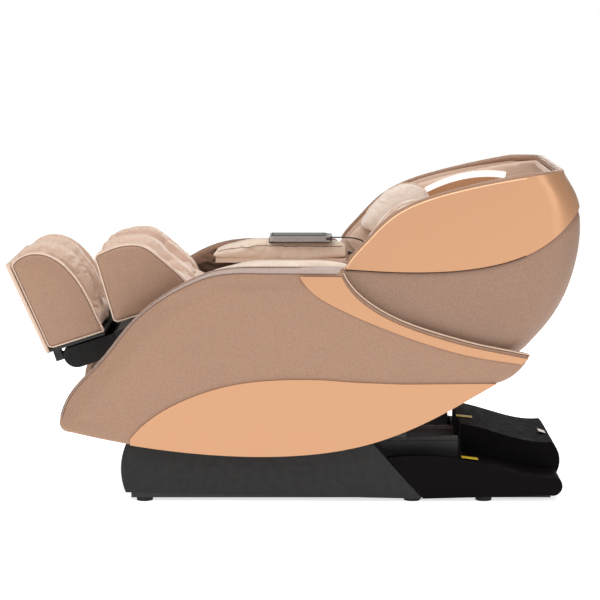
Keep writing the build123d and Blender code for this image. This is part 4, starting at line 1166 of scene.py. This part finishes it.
def remote_trim():
    """A dark face, a dark line along the upper edge and a dark collar round the remote's rear end."""
    low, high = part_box("remote_body")
    middle, half = (low[0] + high[0]) / 2, (high[0] - low[0]) / 2
    centre, deep = (low[2] + high[2]) / 2, (high[2] - low[2]) / 2

    def ring(y, wide, tall):
        spots = []
        for step in range(SIDES):
            turn = step * 2 * pi / SIDES
            x, z = cos(turn), sin(turn)
            reach = (abs(x) ** 4 + abs(z) ** 4) ** -0.25
            spots.append((middle + x * reach * wide, y, centre + z * reach * tall))
        return spots

    verts = ring(high[1] - 0.020, half + PROUD, deep + PROUD)
    verts += ring(high[1] - 0.001, half + PROUD, deep + PROUD)
    verts += ring(high[1] + 0.0005, half * 0.86, deep * 0.8)
    faces = []
    for first in (0, SIDES):
        for t in range(SIDES):
            a, b = first + t, first + (t + 1) % SIDES
            faces.append((a, b, b + SIDES, a + SIDES))
    faces.append(tuple(range(2 * SIDES, 3 * SIDES)))
    collar = give(new_mesh("remote_collar", verts, faces), GREY)
    fix_normals(collar)
    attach(collar, "remote")
    face_low = (low[0] + 0.003, low[1] + 0.005, high[2])
    face_high = (high[0] - 0.003, high[1] - 0.022, high[2] + PROUD)
    verts = list(product(*zip(face_low, face_high)))
    faces = [(0, 1, 3, 2), (4, 6, 7, 5), (0, 4, 5, 1), (2, 3, 7, 6), (0, 2, 6, 4), (1, 5, 7, 3)]
    plate = give(new_mesh("remote_face", verts, faces, smooth=False), GREY)
    fix_normals(plate)
    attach(plate, "remote")
    radius = 0.0016
    left, right = low[0] + radius, high[0] - radius
    front, rear = low[1] + 0.006, high[1] - 0.02
    corners = ((left, front), (left, rear), (right, rear), (right, front))
    points = [(x, y, high[2]) for x, y in corners]
    line = tube("remote_top_line", points, radius, GREY, closed=True)
    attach(line, "remote")


def base_patches():
    """Plain yellow patches and a white one on the deck, without words."""
    def patch(name, x, y, z, width, depth, tilt, material):
        verts = []
        for dz in (0, 0.0008):
            for dx, dy in ((-1, -1), (1, -1), (1, 1), (-1, 1)):
                rise = dy * depth / 2 * tilt
                verts.append((x + dx * width / 2, y + dy * depth / 2, z + dz + rise))
        faces = [(3, 2, 1, 0), (4, 5, 6, 7), (0, 1, 5, 4), (1, 2, 6, 5), (2, 3, 7, 6), (3, 0, 4, 7)]
        piece = give(new_mesh(name, verts, faces, smooth=False), material)
        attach(piece, "base")

    patch("yellow_patch_near", 0.330, 0.390, 0.1335, 0.028, 0.050, -0.12, YELLOW)
    patch("yellow_patch_deck", 0.060, 0.392, 0.2095, 0.030, 0.050, -0.1, YELLOW)
    patch("white_patch_deck", 0.040, 0.640, 0.158, 0.040, 0.022, -0.3, WHITE)


# ------------------------------------------------------------------ floor and light
FLOOR_HALF = 14.0
SOFTBOXES = (                 # name, place, aim, side, power
    ("key", (4.2, -1.6, 4.4), (0, 0, 0.5), 3.2, 140),
    ("fill", (5.0, 2.8, 2.0), (0, 0.2, 0.4), 2.6, 46),
    ("top", (-0.5, 0.2, 5.2), (0, 0, 0.3), 4.5, 108),
    ("front", (0.5, -5.0, 2.4), (0, 0, 0.5), 2.5, 32),
    ("back", (-5.0, 1.5, 2.6), (0, 0, 0.5), 2.6, 60),
)
WORLD_LIGHT = 0.33
WORLD_SEEN = 1.0


def background(nodes, strength):
    made = nodes.new("ShaderNodeBackground")
    made.inputs[0].default_value = (1, 1, 1, 1)
    made.inputs[1].default_value = strength
    return made


def stage_and_light():
    """A flat pale floor, five soft lights, and a world that looks white and lights softly."""
    size = FLOOR_HALF
    corners = [(-size, -size, 0), (size, -size, 0), (size, size, 0), (-size, size, 0)]
    floor = new_mesh("floor", corners, [(0, 1, 2, 3)])
    s = Shader("floor_paper", (246, 245, 243), 0.85)
    s.set("Emission Color", (1, 1, 1, 1))
    s.set("Emission Strength", 0.7)
    s.vary(s.noise(3.0, 2.0), 0.005)
    give(floor, s.material)

    for name, place, aim, side, power in SOFTBOXES:
        data = bpy.data.lights.new(name, "AREA")
        data.shape = "RECTANGLE"
        data.size, data.size_y = side, side
        data.energy = power
        lamp = put(name, data)
        lamp.location = place
        lamp.rotation_euler = (Vector(aim) - Vector(place)).to_track_quat("-Z", "Y").to_euler()

    world = bpy.data.worlds.new("studio")
    world.use_nodes = True
    nodes, links = world.node_tree.nodes, world.node_tree.links
    nodes.remove(nodes["Background"])
    light, seen = background(nodes, WORLD_LIGHT), background(nodes, WORLD_SEEN)
    chosen = nodes.new("ShaderNodeMixShader")
    links.new(nodes.new("ShaderNodeLightPath").outputs["Is Camera Ray"], chosen.inputs[0])
    links.new(light.outputs[0], chosen.inputs[1])
    links.new(seen.outputs[0], chosen.inputs[2])
    links.new(chosen.outputs[0], nodes["World Output"].inputs["Surface"])
    bpy.context.scene.world = world


# ------------------------------------------------------------------ build
remote_lead()
dress_nodes()
arm_shells()
pod_sides()
leg_panels()
sole_cover()
gap_flaps()
soft = cushions()
inflate_all()
for piece in soft["calf_cushion"] + soft["foot_cushion"]:
    crown(piece, 0.012)
trough_faces(soft)
fold_leather(soft)
finish_stuffed()
seam_piping_and_shade()
panel_edges()
rim_roll()
pad_piping(soft)
arm_pad_seams(soft)
base_patches()
remote_trim()
stage_and_light()
